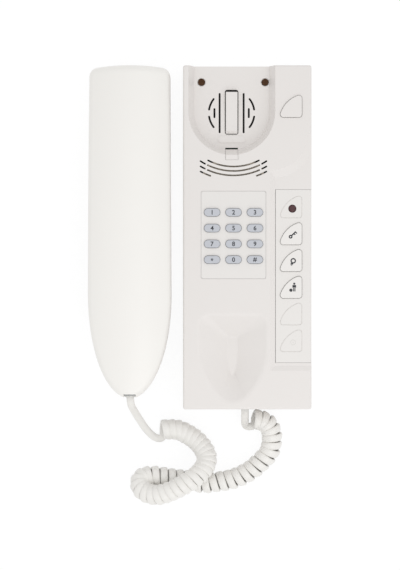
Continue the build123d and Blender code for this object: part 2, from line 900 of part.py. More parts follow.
# Return spring: close end turns, open middle, as round wire
spring_y = pivot_y + spring_reach
spring_top = pivot_z + lever_underside(spring_reach - spring_radius) - spring_wire
spring_low = main_board_top + spring_wire
spring_steps = 2 * spring_turns
spring_stations = []
for step in range(spring_steps + 1):
    angle = math.pi * step
    climb = (spring_top - spring_low) / (math.pi * spring_steps)
    out = Vector(math.cos(angle), math.sin(angle), 0)
    along = Vector(-math.sin(angle) * spring_radius, math.cos(angle) * spring_radius, climb)
    centre = Vector(cradle_x, spring_y, spring_low + climb * angle)
    spring_stations.append((centre + out * spring_radius, along.normalized()))

spring_line = Wire(coil_of_arcs(spring_stations))
with BuildPart() as hook_spring:
    with BuildSketch(Plane(spring_line @ 0, z_dir=spring_line % 0)):
        Circle(spring_wire / 2)
    sweep(path=spring_line)

save(hook_spring.part, "hook_spring")

# Dark cloth under the cradle's grille, and the tab that keeps the handset from sliding off a wall

with BuildPart() as grille_cloth:
    with BuildSketch(Plane.XY.offset(cradle_floor - wall)):
        with Locations((cradle_x, grille_y)):
            Circle(grille_arc_radius + cloth_margin)
        with Locations((cradle_x, lever_opening_high - lever_length)):
            Rectangle(2 * (ear_offset + ear_thickness), 2 * lever_length, mode=Mode.SUBTRACT)
    extrude(amount=-cloth_thickness)

save(grille_cloth.part, "grille_cloth")

tab_back = top_y - tab_back_drop
tab_front = top_y - tab_front_drop
with BuildPart() as handset_tab:
    with BuildSketch(Plane.YZ.offset(cradle_x - tab_width / 2)):
        with BuildLine():
            Polyline(
                (tab_back, cradle_floor - wall - tab_foot),
                (tab_back, base_depth + tab_rise),
                (cradle_y - cradle_radius, base_depth + tab_rise),
                (tab_front, cradle_floor + tab_rise),
                (tab_front, cradle_floor - wall - tab_foot),
                close=True,
            )
        make_face()
    extrude(amount=tab_width)
    with BuildSketch(Plane.XY.offset(cradle_floor - wall - touch_gap)):
        with Locations((cradle_x, (tab_back + tab_front) / 2)):
            Rectangle(tab_width + 2 * tab_foot, tab_front - tab_back)
    extrude(amount=-tab_foot)

save(handset_tab.part, "handset_tab")

# Ringer loudspeaker, glued under the curved slots

ringer_top = base_depth - wall
ringer_y = top_y - ringer_drop
with BuildPart() as ringer_frame:
    with BuildSketch(Plane.XY.offset(ringer_top)):
        with Locations((main_x, ringer_y)):
            SlotOverall(ringer_width, ringer_height)
    extrude(amount=-ringer_depth)
    with BuildSketch(Plane.XY.offset(ringer_top)):
        with Locations((main_x, ringer_y)):
            SlotOverall(ringer_width - 2 * ringer_rim, ringer_height - 2 * ringer_rim)
    extrude(amount=ringer_rim - ringer_depth, mode=Mode.SUBTRACT)
    with BuildSketch(Plane.XY.offset(ringer_top - ringer_depth)):
        with Locations((main_x, ringer_y)):
            Circle(ringer_magnet_radius)
    extrude(amount=overrun, mode=Mode.SUBTRACT)

save(ringer_frame.part, "ringer_frame")

with BuildPart() as ringer_cone:
    with BuildSketch(Plane.XY.offset(ringer_top - ringer_cone_sink)):
        with Locations((main_x, ringer_y)):
            SlotOverall(ringer_width - 2 * ringer_rim, ringer_height - 2 * ringer_rim)
    extrude(amount=-ringer_cone_thickness)

save(ringer_cone.part, "ringer_cone")

with BuildPart() as ringer_magnet:
    with BuildSketch(Plane.XY.offset(ringer_top - ringer_depth + ringer_rim)):
        with Locations((main_x, ringer_y)):
            Circle(ringer_magnet_radius)
    extrude(amount=-ringer_rim - ringer_magnet_depth)

save(ringer_magnet.part, "ringer_magnet")

# Rear plate: tray against the wall, pillars for the board and the cover screws, a pad under the cord jack

plate_half_x = base_width / 2 - wall - clearance
plate_half_y = base_height / 2 - wall - clearance
main_board_width = base_width - 2 * (wall + main_board_side_gap)
main_board_low = bottom_y + wall + main_board_foot_gap
main_board_high = top_y - cover_screw_drop - cover_pillar_radius - main_board_head_gap
main_board_length = main_board_high - main_board_low
main_board_y = (main_board_low + main_board_high) / 2
main_screw_x = main_board_width / 2 - pillar_inset
main_screw_y = main_board_length / 2 - pillar_inset
main_board_screw_places = [
    (side * main_screw_x, main_board_y + end * main_screw_y) for side in (-1, 1) for end in (-1, 1)
]
wall_hole_places = [(0, -wall_hole_spacing / 2), (0, wall_hole_spacing / 2)]
cover_pillar_top = cradle_floor - wall - touch_gap
jack_outer_width = plug_width + 2 * clearance + 2 * jack_wall
jack_front = bottom_y + wall + touch_gap
jack_y = jack_front + jack_depth / 2

with BuildPart() as rear_plate:
    with BuildSketch():
        Rectangle(2 * plate_half_x, 2 * plate_half_y)
    extrude(amount=plate_floor)
    with BuildSketch():
        Rectangle(2 * plate_half_x, 2 * plate_half_y)
        Rectangle(2 * (plate_half_x - lip_thickness), 2 * (plate_half_y - lip_thickness), mode=Mode.SUBTRACT)
    extrude(amount=plate_lip)
    with BuildSketch(Plane.XY.offset(plate_floor)):
        with Locations((base_jack_x, jack_front)):
            Rectangle(jack_outer_width + 2 * touch_gap, jack_depth)
    extrude(amount=plate_lip, mode=Mode.SUBTRACT)
    with BuildSketch():
        with Locations((base_jack_x, jack_y)):
            Rectangle(jack_outer_width, jack_depth)
    extrude(amount=base_jack_z - jack_height / 2)
    with BuildSketch():
        with Locations(*cover_screw_places):
            Circle(cover_pillar_radius)
    extrude(amount=cover_pillar_top)
    with BuildSketch():
        with Locations(*main_board_screw_places):
            Circle(pillar_radius)
    extrude(amount=main_board_under)
    with BuildSketch(Plane.XY.offset(plate_floor)):
        with Locations(*main_board_screw_places):
            Circle(board_screw_radius)
    extrude(amount=overrun, mode=Mode.SUBTRACT)
    with BuildSketch(Plane.XY.offset(plate_floor)):
        with Locations(*cover_screw_places):
            Circle(cover_screw_radius)
    extrude(amount=cover_pillar_top, mode=Mode.SUBTRACT)
    with BuildSketch():
        with Locations(*wall_hole_places):
            Circle(wall_hole_radius)
        with Locations((entry_x, 0)):
            RectangleRounded(entry_size, entry_size, corner_radius)
    extrude(amount=plate_floor, mode=Mode.SUBTRACT)

save(rear_plate.part, "rear_plate")

with BuildPart() as main_board:
    with BuildSketch(Plane.XY.offset(main_board_under)):
        with Locations((0, main_board_y)):
            Rectangle(main_board_width, main_board_length)
        with Locations((base_jack_x, jack_y)):
            Rectangle(jack_outer_width + 2 * touch_gap, jack_depth + 2 * touch_gap, mode=Mode.SUBTRACT)
        with Locations((entry_x, 0)):
            Rectangle(entry_size, entry_size, mode=Mode.SUBTRACT)
        with Locations(*wall_hole_places):
            Circle(access_radius, mode=Mode.SUBTRACT)
        with Locations(*main_board_screw_places):
            Circle(board_screw_radius + touch_gap, mode=Mode.SUBTRACT)
    extrude(amount=board_thickness)

save(main_board.part, "main_board")

with BuildPart() as board_screws:
    for places, face, outward in (
        (main_board_screw_places, main_board_top, 1),
        (key_board_screw_places, key_board_under, -1),
    ):
        with BuildSketch(Plane.XY.offset(face)):
            with Locations(*places):
                Circle(board_head_radius)
        extrude(amount=outward * board_head_height)
        with BuildSketch(Plane.XY.offset(face)):
            with Locations(*places):
                Circle(board_screw_radius)
        extrude(amount=-outward * board_screw_length)
        with BuildSketch(Plane.XY.offset(face + outward * (board_head_height - head_slot_depth))):
            with Locations(*places):
                Rectangle(2 * board_head_radius, head_slot_width)
        extrude(amount=outward * overrun, mode=Mode.SUBTRACT)

save(board_screws.part, "board_screws")

with BuildPart() as cover_screws:
    head_top = cradle_floor - clearance
    with BuildSketch(Plane.XY.offset(head_top)):
        with Locations(*cover_screw_places):
            Circle(cover_head_radius)
    extrude(amount=-cover_head_height)
    with BuildSketch(Plane.XY.offset(head_top)):
        with Locations(*cover_screw_places):
            Circle(cover_screw_radius)
    extrude(amount=-cover_head_height - cover_screw_length)
    for across, along in ((head_slot_width, cross_slot_length), (cross_slot_length, head_slot_width)):
        with BuildSketch(Plane.XY.offset(head_top - head_slot_depth)):
            with Locations(*cover_screw_places):
                Rectangle(across, along)
        extrude(amount=overrun, mode=Mode.SUBTRACT)

save(cover_screws.part, "cover_screws")

# Terminal block for the building's wires, beside the cable entry

terminal_x = entry_x - entry_size / 2 - terminal_gap - terminal_size[0] / 2
terminal_top = main_board_top + terminal_size[2]
terminal_pitch = terminal_size[0] / terminal_ways
terminal_places = [
    (terminal_x + (way - (terminal_ways - 1) / 2) * terminal_pitch, 0) for way in range(terminal_ways)
]
with BuildPart() as terminal_block:
    with BuildSketch(Plane.XY.offset(main_board_top)):
        with Locations((terminal_x, 0)):
            Rectangle(terminal_size[0], terminal_size[1])
    extrude(amount=terminal_size[2])
    with BuildSketch(Plane.XY.offset(terminal_top)):
        with Locations(*terminal_places):
            Circle(terminal_screw_radius + touch_gap)
    extrude(amount=-terminal_size[2] / 2, mode=Mode.SUBTRACT)
    with BuildSketch(Plane.XZ.offset(terminal_size[1] / 2)):
        with Locations(*[(x, main_board_top + terminal_size[2] / 4) for x, y in terminal_places]):
            Rectangle(2 * terminal_screw_radius, 2 * terminal_screw_radius)
    extrude(amount=-terminal_size[1] / 2, mode=Mode.SUBTRACT)

save(terminal_block.part, "terminal_block")

with BuildPart() as terminal_screws:
    with BuildSketch(Plane.XY.offset(terminal_top - terminal_size[2] / 2 + touch_gap)):
        with Locations(*terminal_places):
            Circle(terminal_screw_radius)
    extrude(amount=terminal_size[2] / 2 - terminal_screw_height)
    with BuildSketch(Plane.XY.offset(terminal_top - terminal_screw_height - head_slot_depth)):
        with Locations(*terminal_places):
            Rectangle(2 * terminal_screw_radius, head_slot_width)
    extrude(amount=overrun, mode=Mode.SUBTRACT)

save(terminal_screws.part, "terminal_screws")


def jack_shape(x, front, z, width, height):
    """Modular jack: a block whose mouth faces -Y at the front, with a pocket that takes the plug."""
    pocket = plug_length - plug_front_gap + clearance
    with BuildPart() as jack:
        with BuildSketch(Plane.XZ.offset(-front)):
            with Locations((x, z)):
                Rectangle(width, height)
        extrude(amount=-jack_depth)
        with BuildSketch(Plane.XZ.offset(-front)):
            with Locations((x, z)):
                Rectangle(plug_width + 2 * touch_gap, plug_height + 2 * touch_gap)
        extrude(amount=-pocket, mode=Mode.SUBTRACT)
    return jack.part


def plug_shape(x, rear, z):
    """Modular plug: clear block with four contacts' slots, its cord end facing -Y at the rear."""
    nose = rear + plug_length
    with BuildPart() as plug:
        with BuildSketch(Plane.XZ.offset(-rear)):
            with Locations((x, z)):
                Rectangle(plug_width, plug_height)
        extrude(amount=-plug_length)
        chamfer(plug.faces().sort_by(Axis.Y)[-1].edges(), contact_depth)
        with BuildSketch(Plane.XY.offset(z + plug_height / 2 - contact_depth)):
            for contact in range(contact_count):
                offset_x = (contact - (contact_count - 1) / 2) * contact_pitch
                with Locations((x + offset_x, nose - plug_length / 4)):
                    Rectangle(contact_width, plug_length / 2)
        extrude(amount=overrun, mode=Mode.SUBTRACT)
    return plug.part


base_plug_rear = bottom_y - plug_stand_out
save(jack_shape(base_jack_x, jack_front, base_jack_z, jack_outer_width, jack_height), "base_jack")
save(plug_shape(base_jack_x, base_plug_rear, base_jack_z), "base_plug")

# Handset: one outer form, and the same form a wall thickness inside it

handset_top = top_y - handset_top_gap
handset_tip = handset_top - handset_length
cheek_y = handset_tip + cheek_start_rise
handset_crown_y = handset_top - handset_crown_drop
belly_y = handset_top - belly_drop
handset_corner_y = handset_top - handset_end_rise


def handset_outline(inset, height):
    """Handset seen from the back: straight sides, rounded top corners, an elliptical lower end."""
    side = handset_half_width - inset
    top_side = handset_top_half - inset
    corner_y = handset_corner_y - inset
    with BuildSketch(Plane.XY.offset(height)) as outline:
        with BuildLine():
            ThreePointArc(
                (handset_x - top_side, corner_y),
                (handset_x, handset_top - inset),
                (handset_x + top_side, corner_y),
            )
            Line((handset_x + top_side, corner_y), (handset_x + side, cheek_y))
            EllipticalCenterArc(
                (handset_x, cheek_y), side, cheek_start_rise - inset, start_angle=180, arc_size=180
            )
            Line((handset_x - side, cheek_y), (handset_x - top_side, corner_y))
        make_face()
        fillet(outline.vertices().group_by(Axis.Y)[-1], handset_corner - inset)
    return outline.sketch


def belly_z(y):
    """Height of the handset's underside at a place along it."""
    return belly_height - belly_radius + math.sqrt(belly_radius**2 - (y - belly_y) ** 2)


def handset_form(inset):
    """Solid form of the handset's body without its bosses, drawn in by inset on every side."""
    crown_axis = Axis((handset_x, handset_crown_y, handset_height - crown_long_radius), (1, 0, 0))
    reach = handset_half_width + overrun
    crown_drop = crown_cross_radius - math.sqrt(crown_cross_radius**2 - reach**2)
    with BuildPart() as form:
        add(handset_outline(inset, 0))
        extrude(amount=handset_height + overrun)
        section_plane = Plane((handset_x, handset_crown_y, 0), x_dir=(1, 0, 0), z_dir=(0, -1, 0))
        with BuildSketch(section_plane):
            with BuildLine():
                ThreePointArc(
                    (-reach, handset_height - inset - crown_drop),
                    (0, handset_height - inset),
                    (reach, handset_height - inset - crown_drop),
                )
                Polyline(
                    (-reach, handset_height - inset - crown_drop),
                    (-reach, -overrun * overrun),
                    (reach, -overrun * overrun),
                    (reach, handset_height - inset - crown_drop),
                )
            make_face()
        revolve(axis=crown_axis, mode=Mode.INTERSECT)
        with BuildSketch(Plane.YZ.offset(handset_x - handset_half_width - overrun)):
            with Locations((belly_y, belly_height - belly_radius)):
                Circle(belly_radius + inset)
        extrude(amount=2 * (handset_half_width + overrun), mode=Mode.SUBTRACT)
        fillet(form.faces().sort_by(Axis.Z)[-1].edges(), crown_edge_radius - inset)
        fillet(form.faces().sort_by(Axis.Z)[0].edges(), belly_edge_radius - inset)
    return form.part


# Bosses of the ear and mouth ends, which rest in the base's cradle and scoop

mouth_top = handset_tip + mouth_top_rise
mouth_tip = handset_tip + mouth_tip_rise
mic_y = handset_tip + mic_rise
boss_reach = split_height - handset_wall


def ear_boss(inset):
    """Round boss of the earpiece, widening a little towards the handset's body."""
    with BuildPart() as boss:
        with BuildSketch(Plane.XY.offset(inset)):
            with Locations((handset_x, cradle_y)):
                Circle(ear_boss_radius - inset)
        extrude(amount=boss_reach - inset, taper=-ear_boss_taper)
        if not inset:
            fillet(boss.faces().sort_by(Axis.Z)[0].edges(), ear_boss_edge)
    return boss.part


def mouth_boss(inset):
    """Mouthpiece: slopes down from the grip to a flat face, then rises again to the tip."""
    slope_foot = mouth_top - mouth_slope
    with BuildPart() as boss:
        add(handset_outline(mouth_inset + inset, 0))
        extrude(amount=boss_reach)
        with BuildSketch(Plane.YZ.offset(handset_x - mouth_half_width + inset)):
            with BuildLine():
                Polyline(
                    (mouth_top, belly_z(mouth_top)),
                    (slope_foot, 0),
                    (slope_foot - mouth_flat, 0),
                    (mouth_tip, mouth_tip_height),
                    (mouth_tip, boss_reach),
                    (mouth_top, boss_reach),
                    close=True,
                )
            make_face()
            if inset:
                offset(amount=-inset)
        extrude(amount=2 * (mouth_half_width - inset), mode=Mode.INTERSECT)
    return boss.part


handset_screw_places = [
    (handset_x, handset_top - upper_screw_drop),
    (handset_x, handset_tip + lower_screw_rise),
]
weight_y = (handset_screw_places[0][1] + handset_screw_places[1][1]) / 2

with BuildPart() as handset_hollow:
    add(handset_form(handset_wall))
    add(ear_boss(handset_wall))
    add(mouth_boss(handset_wall))
    with BuildSketch():
        with Locations(*handset_screw_places):
            Circle(handset_pillar_radius)
        with Locations((handset_x, handset_tip)):
            Rectangle(2 * (notch_half_width + handset_wall), 2 * (notch_depth + handset_wall))
    extrude(amount=handset_height, mode=Mode.SUBTRACT)

with BuildPart() as handset_walls:
    add(handset_form(0))
    add(ear_boss(0))
    add(mouth_boss(0))
    add(handset_hollow.part, mode=Mode.SUBTRACT)
    # notch in the tip, and the jack's mouth behind it
    notch_low = handset_jack_z - plug_height / 2 - clearance
    with BuildSketch(Plane.XY.offset(notch_low)):
        with Locations((handset_x, handset_tip)):
            Rectangle(2 * notch_half_width, 2 * notch_depth)
    extrude(amount=handset_height, mode=Mode.SUBTRACT)
    with BuildSketch(Plane.XY.offset(notch_low)):
        with Locations((handset_x, handset_tip)):
            Rectangle(2 * notch_half_width, 2 * (notch_depth + handset_wall + clearance))
    extrude(amount=plug_height + 2 * clearance, mode=Mode.SUBTRACT)


def handset_shell(low, high):
    """The handset's walls between two heights."""
    with BuildPart() as shell:
        add(handset_walls.part)
        with BuildSketch(Plane.XY.offset(low)):
            with Locations((handset_x, 0)):
                Rectangle(4 * handset_half_width, 2 * base_height)
        extrude(amount=high - low, mode=Mode.INTERSECT)
    return shell.part


with BuildPart() as handset_outer_shell:
    add(handset_shell(split_height + seam / 2, handset_height + overrun))
    for x, y in handset_screw_places:
        head_seat = belly_z(y) + handset_head_sink + handset_head_height
        with BuildSketch(Plane.XY.offset(split_height)):
            with Locations((x, y)):
                Circle(handset_screw_radius)
        extrude(amount=head_seat + handset_screw_length + clearance - split_height, mode=Mode.SUBTRACT)

save(handset_outer_shell.part, "handset_outer_shell")

with BuildPart() as handset_inner_shell:
    add(handset_shell(-overrun, split_height - seam / 2))
    for x, y in handset_screw_places:
        head_seat = belly_z(y) + handset_head_sink + handset_head_height
        with BuildSketch():
            with Locations((x, y)):
                Circle(handset_head_radius + clearance)
        extrude(amount=head_seat, mode=Mode.SUBTRACT)
        with BuildSketch():
            with Locations((x, y)):
                Circle(handset_screw_radius + clearance)
        extrude(amount=split_height, mode=Mode.SUBTRACT)
    with BuildSketch(Plane.XY.offset(-overrun)):
        with Locations((handset_x, cradle_y)):
            Circle(ear_boss_hole_radius)
            for ring, count in zip(ear_boss_hole_rings, ear_boss_hole_counts):
                with PolarLocations(ring, count):
                    Circle(ear_boss_hole_radius)
        for row in range(mic_slot_count):
            slot_y = mic_y + (row - (mic_slot_count - 1) / 2) * mic_slot_pitch
            with Locations((handset_x, slot_y)):
                SlotOverall(mic_slot_length, mic_slot_width)
    extrude(amount=overrun + handset_wall + clearance, mode=Mode.SUBTRACT)

save(handset_inner_shell.part, "handset_inner_shell")

# What the handset's two ends hold

gasket_top = handset_wall + gasket_height
capsule_top = gasket_top + capsule_height
with BuildPart() as earpiece_gasket:
    with BuildSketch(Plane.XY.offset(handset_wall)):
        with Locations((handset_x, cradle_y)):
            Circle(capsule_radius)
            Circle(capsule_radius - gasket_width, mode=Mode.SUBTRACT)
    extrude(amount=gasket_height)

save(earpiece_gasket.part, "earpiece_gasket")

with BuildPart() as earpiece_frame:
    with BuildSketch(Plane.XY.offset(gasket_top)):
        with Locations((handset_x, cradle_y)):
            Circle(capsule_radius)
    extrude(amount=capsule_height)
    with BuildSketch(Plane.XY.offset(gasket_top)):
        with Locations((handset_x, cradle_y)):
            Circle(capsule_radius - capsule_wall)
    extrude(amount=capsule_height - capsule_wall, mode=Mode.SUBTRACT)
    with BuildSketch(Plane.XY.offset(gasket_top)):
        with Locations((handset_x, cradle_y)):
            Circle(capsule_magnet_radius)
    extrude(amount=2 * capsule_height, mode=Mode.SUBTRACT)

save(earpiece_frame.part, "earpiece_frame")

with BuildPart() as earpiece_cone:
    with BuildSketch(Plane.XY.offset(gasket_top + capsule_wall)):
        with Locations((handset_x, cradle_y)):
            Circle(capsule_radius - capsule_wall)
    extrude(amount=capsule_cone_thickness)

save(earpiece_cone.part, "earpiece_cone")

with BuildPart() as earpiece_magnet:
    with BuildSketch(Plane.XY.offset(capsule_top)):
        with Locations((handset_x, cradle_y)):
            Circle(capsule_magnet_radius)
    extrude(amount=-capsule_magnet_height)

save(earpiece_magnet.part, "earpiece_magnet")

mic_low = handset_wall + mic_front_gap
with BuildPart() as microphone_capsule:
    with BuildSketch(Plane.XY.offset(mic_low)):
        with Locations((handset_x, mic_y)):
            Circle(mic_radius)
    extrude(amount=mic_height)

save(microphone_capsule.part, "microphone_capsule")

with BuildPart() as microphone_boot:
    with BuildSketch(Plane.XY.offset(handset_wall)):
        with Locations((handset_x, mic_y)):
            Circle(mic_radius + mic_boot)
    extrude(amount=mic_front_gap + mic_height + mic_boot)
    with BuildSketch(Plane.XY.offset(handset_wall)):
        with Locations((handset_x, mic_y)):
            Circle(mic_radius)
    extrude(amount=mic_front_gap + mic_height, mode=Mode.SUBTRACT)

save(microphone_boot.part, "microphone_boot")

with BuildPart() as handset_weight:
    with BuildSketch(Plane.XY.offset(belly_height + handset_wall + touch_gap)):
        with Locations((handset_x, weight_y)):
            Rectangle(weight_size[0], weight_size[1])
    extrude(amount=weight_size[2])

save(handset_weight.part, "handset_weight")

with BuildPart() as handset_screws:
    for x, y in handset_screw_places:
        head_low = belly_z(y) + handset_head_sink
        with BuildSketch(Plane.XY.offset(head_low)):
            with Locations((x, y)):
                Circle(handset_head_radius)
        extrude(amount=handset_head_height)
        with BuildSketch(Plane.XY.offset(head_low)):
            with Locations((x, y)):
                Circle(handset_screw_radius)
        extrude(amount=handset_head_height + handset_screw_length)
        for across, along in ((head_slot_width, cross_slot_length), (cross_slot_length, head_slot_width)):
            with BuildSketch(Plane.XY.offset(head_low + head_slot_depth)):
                with Locations((x, y)):
                    Rectangle(across, along)
            extrude(amount=-overrun, mode=Mode.SUBTRACT)

save(handset_screws.part, "handset_screws")

handset_jack_front = handset_tip + notch_depth + handset_wall + clearance
handset_jack = jack_shape(
    handset_x, handset_jack_front, handset_jack_z, handset_jack_width, handset_jack_height
)
save(handset_jack, "handset_jack")
handset_plug_rear = handset_tip + handset_plug_sink
save(plug_shape(handset_x, handset_plug_rear, handset_jack_z), "handset_plug")

# Curly cord: places along its middle line, read off the photo

curl_route = [
    (-55.3, -127.1, 7),
    (-46.8, -126.6, 7),
    (-40.9, -129.1, 7),
    (-32.9, -134.1, 8),
    (-27.4, -141, 11),
    (-25.9, -147, 14),
    (-28.9, -153, 18),
    (-34.2, -157.9, 21.2),
    (-42.8, -163.3, 21),
    (-50.8, -167.4, 18.5),
    (-58.8, -170, 16.5),
    (-65.4, -169, 14),
    (-71, -165, 11.5),
    (-71.8, -159.3, 8.5),
    (-67.4, -154.6, 7),
    (-60.8, -153.8, 7),
    (-53.5, -156, 7),
    (-45.5, -157.9, 7),
    (-37.5, -160.6, 7),
    (-28.9, -162.9, 7),
    (-20.9, -161.9, 7),
    (-13, -160.9, 7),
    (-6, -158.9, 7),
    (1.9, -155, 7),
    (7.9, -150, 7),
    (12.9, -145, 7),
    (15.9, -141, 7),
    (16.9, -134.1, 7),
    (16.9, -129.5, 7),
    (14.8, -124, 7),
    (10.5, -121, 7),
    (5.5, -120.2, 7),
]
curl_low = curl_route[0][2] - coil_radius
handset_lead_route = [
    (handset_x, handset_plug_rear, handset_jack_z),
    (handset_x, -109.5, handset_jack_z),
    (-74.3, -114.8, 10.8),
    (-70.5, -121.5, 5.5),
    (-66, -129.5, 1.9),
    (-61.5, -136.2, curl_low),
    (curl_route[0][0], -136.2, curl_low),
    (curl_route[0][0], curl_route[0][1] - cord_end, curl_low),
]
base_lead_route = [
    (curl_route[-1][0], curl_route[-1][1] - cord_end, curl_low),
    (curl_route[-1][0], -129.2, curl_low),
    (base_jack_x, -129.2, 2.2),
    (base_jack_x, -119.5, base_jack_z),
    (base_jack_x, base_plug_rear, base_jack_z),
]


def tube_along(path):
    """Round cord swept along a path."""
    with BuildPart() as tube:
        with BuildSketch(Plane(path @ 0, z_dir=path % 0)):
            Circle(cord_diameter / 2)
        sweep(path=path)
    return tube.part


def lead_path(points):
    """Straight runs joined by arcs as wide as the runs allow."""
    radii = []
    for before, corner, after in zip(points, points[1:], points[2:]):
        first = Vector(*corner) - Vector(*before)
        second = Vector(*after) - Vector(*corner)
        half_turn = math.radians(first.get_angle(second)) / 2
        radii.append(lead_arc_share * min(first.length, second.length) / math.tan(half_turn))
    print("lead radii", [round(radius, 1) for radius in radii])
    with BuildLine() as line:
        FilletPolyline(*points, radius=radii)
    return line.wire()


curl_axis = Edge.make_spline([Vector(*point) for point in curl_route])
curl_length = curl_axis.length


def curl_heading(reach):
    """Direction of the curl's middle line at a length along it."""
    return curl_axis.tangent_at(min(max(reach / curl_length, 0), 1))


curl_steps = math.ceil(curl_length)
curl_step = curl_length / curl_steps
turn_counts = [0]
for step in range(curl_steps):
    middle = (step + 0.5) * curl_step
    bend = (curl_heading(middle + 1) - curl_heading(middle - 1)).length / 2
    pitch = max(coil_free_pitch, (cord_diameter + coil_least_gap) / (1 - bend * coil_radius))
    turn_counts.append(turn_counts[-1] + curl_step / pitch)
coil_turns = round(turn_counts[-1])


def coil_point(reach):
    """Point of the cord's curl, a right-hand helix round its middle line that starts underneath."""
    place = min(max(reach / curl_step, 0), curl_steps - 1e-6)
    step = int(place)
    turns = turn_counts[step] + (place - step) * (turn_counts[step + 1] - turn_counts[step])
    angle = math.pi / 2 + 2 * math.pi * turns * coil_turns / turn_counts[-1]
    heading = curl_heading(reach)
    aside = heading.cross(Vector(0, 0, 1)).normalized()
    upward = aside.cross(heading)
    centre = curl_axis.position_at(min(max(reach / curl_length, 0), 1))
    return centre + aside * coil_radius * math.cos(angle) - upward * coil_radius * math.sin(angle)


curl_stations = []
for half_turn in range(1, 2 * coil_turns):
    wanted = half_turn / (2 * coil_turns) * turn_counts[-1]
    step = next(index for index in range(curl_steps) if turn_counts[index + 1] >= wanted)
    share = (wanted - turn_counts[step]) / (turn_counts[step + 1] - turn_counts[step])
    reach = (step + share) * curl_step
    heading = coil_point(reach + touch_gap) - coil_point(reach - touch_gap)
    curl_stations.append((coil_point(reach), heading.normalized()))
curl_start = Vector(curl_route[0][0], curl_route[0][1], curl_low)
curl_finish = Vector(curl_route[-1][0], curl_route[-1][1], curl_low)
curl_stations.insert(0, (curl_start, Vector(0, 1, 0)))
curl_stations.append((curl_finish, Vector(0, -1, 0)))

curl_edges = coil_of_arcs(curl_stations)
curl_edges.insert(0, Edge.make_line(curl_start - Vector(0, cord_end, 0), curl_start))
curl_edges.append(Edge.make_line(curl_finish, curl_finish - Vector(0, cord_end, 0)))
curl_line = Wire(curl_edges)

curl_samples = []
run = 0
for edge in curl_edges:
    for part in range(8):
        curl_samples.append((run + edge.length * part / 8, (edge @ (part / 8)).to_tuple()))
    run += edge.length
least = min(
    math.dist(near, far)
    for index, (here, near) in enumerate(curl_samples)
    for there, far in curl_samples[index + 1 :]
    if there - here > 4 * cord_diameter
)
print(f"curl: {coil_turns} turns, axis {curl_length:.0f} mm, cord {curl_line.length:.0f} mm")
print(f"curl: least gap to itself {least - cord_diameter:.2f} mm")

cord_section = math.pi * cord_diameter**2 / 4
for name, path in (
    ("cord_handset_lead", lead_path(handset_lead_route)),
    ("cord_base_lead", lead_path(base_lead_route)),
    ("cord_curl", curl_line),
):
    cord_piece = tube_along(path)
    save(cord_piece, name)
    print(f"{name}: volume over section times length {cord_piece.volume / cord_section / path.length:.3f}")
    print(f"{name}: lowest {cord_piece.bounding_box().min.Z:.2f}")
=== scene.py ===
"""Dresses the solid model of a wall intercom: finishes, printed marks and curly cord.

Metres, in the model's own frame: the base lies on its back with its front towards +Z and its top towards +Y,
the handset lies face down at its left, and the cord runs between them below.
"""

import bisect
import math

import bmesh
import bpy
from mathutils import Matrix, Vector


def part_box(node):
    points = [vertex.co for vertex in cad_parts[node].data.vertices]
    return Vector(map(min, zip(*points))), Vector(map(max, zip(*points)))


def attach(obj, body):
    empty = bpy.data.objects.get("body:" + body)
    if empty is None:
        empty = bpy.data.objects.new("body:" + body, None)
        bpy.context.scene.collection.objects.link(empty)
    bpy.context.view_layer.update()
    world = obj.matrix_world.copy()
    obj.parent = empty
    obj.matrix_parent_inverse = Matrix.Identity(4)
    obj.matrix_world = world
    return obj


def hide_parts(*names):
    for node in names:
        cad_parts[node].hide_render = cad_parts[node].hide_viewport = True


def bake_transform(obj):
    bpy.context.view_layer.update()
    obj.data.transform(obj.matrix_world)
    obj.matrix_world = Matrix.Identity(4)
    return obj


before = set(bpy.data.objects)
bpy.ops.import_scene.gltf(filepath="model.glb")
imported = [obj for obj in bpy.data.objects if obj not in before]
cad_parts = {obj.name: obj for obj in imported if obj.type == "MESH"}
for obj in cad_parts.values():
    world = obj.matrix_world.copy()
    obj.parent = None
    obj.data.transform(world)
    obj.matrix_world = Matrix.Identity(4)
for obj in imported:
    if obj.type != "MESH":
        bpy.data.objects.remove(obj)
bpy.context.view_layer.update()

bl_info = {
    "name": "Wall Intercom Finisher",
    "version": (1, 0, 0),
    "blender": (4, 5, 0),
    "location": "3D View > Sidebar > Intercom",
    "description": "Finishes a wall intercom with keypad, handset and curly cord",
    "category": "Object",
}

MM = 0.001

# How finely the cord is cut: step along a lead, steps along the curl, places in each turn, points round it
LEAD_STEP = 0.9 * MM
CURL_STEPS = 400
TURN_PLACES = 30
CORD_POINTS = 14
# Powers that square off the cord's width and thickness, and half the run over which the curl's bend is read
CORD_SQUARENESS = (0.6, 0.8)
BEND_REACH = 2 * MM
# Shares of the curl's run: where its turns begin to open and over how much, where they'd be closed again
# and over how much
OPEN_FROM, OPEN_RUN = 0.2, 0.35
CLOSE_AT, CLOSE_RUN = 1.15, 0.3

# Thickening of the digits' strokes, and the star's share of a digit's height
STROKE_OFFSET = 0.02
STAR_SHARE = 0.62
# Sides of a printed disc
DISC_SIDES = 32

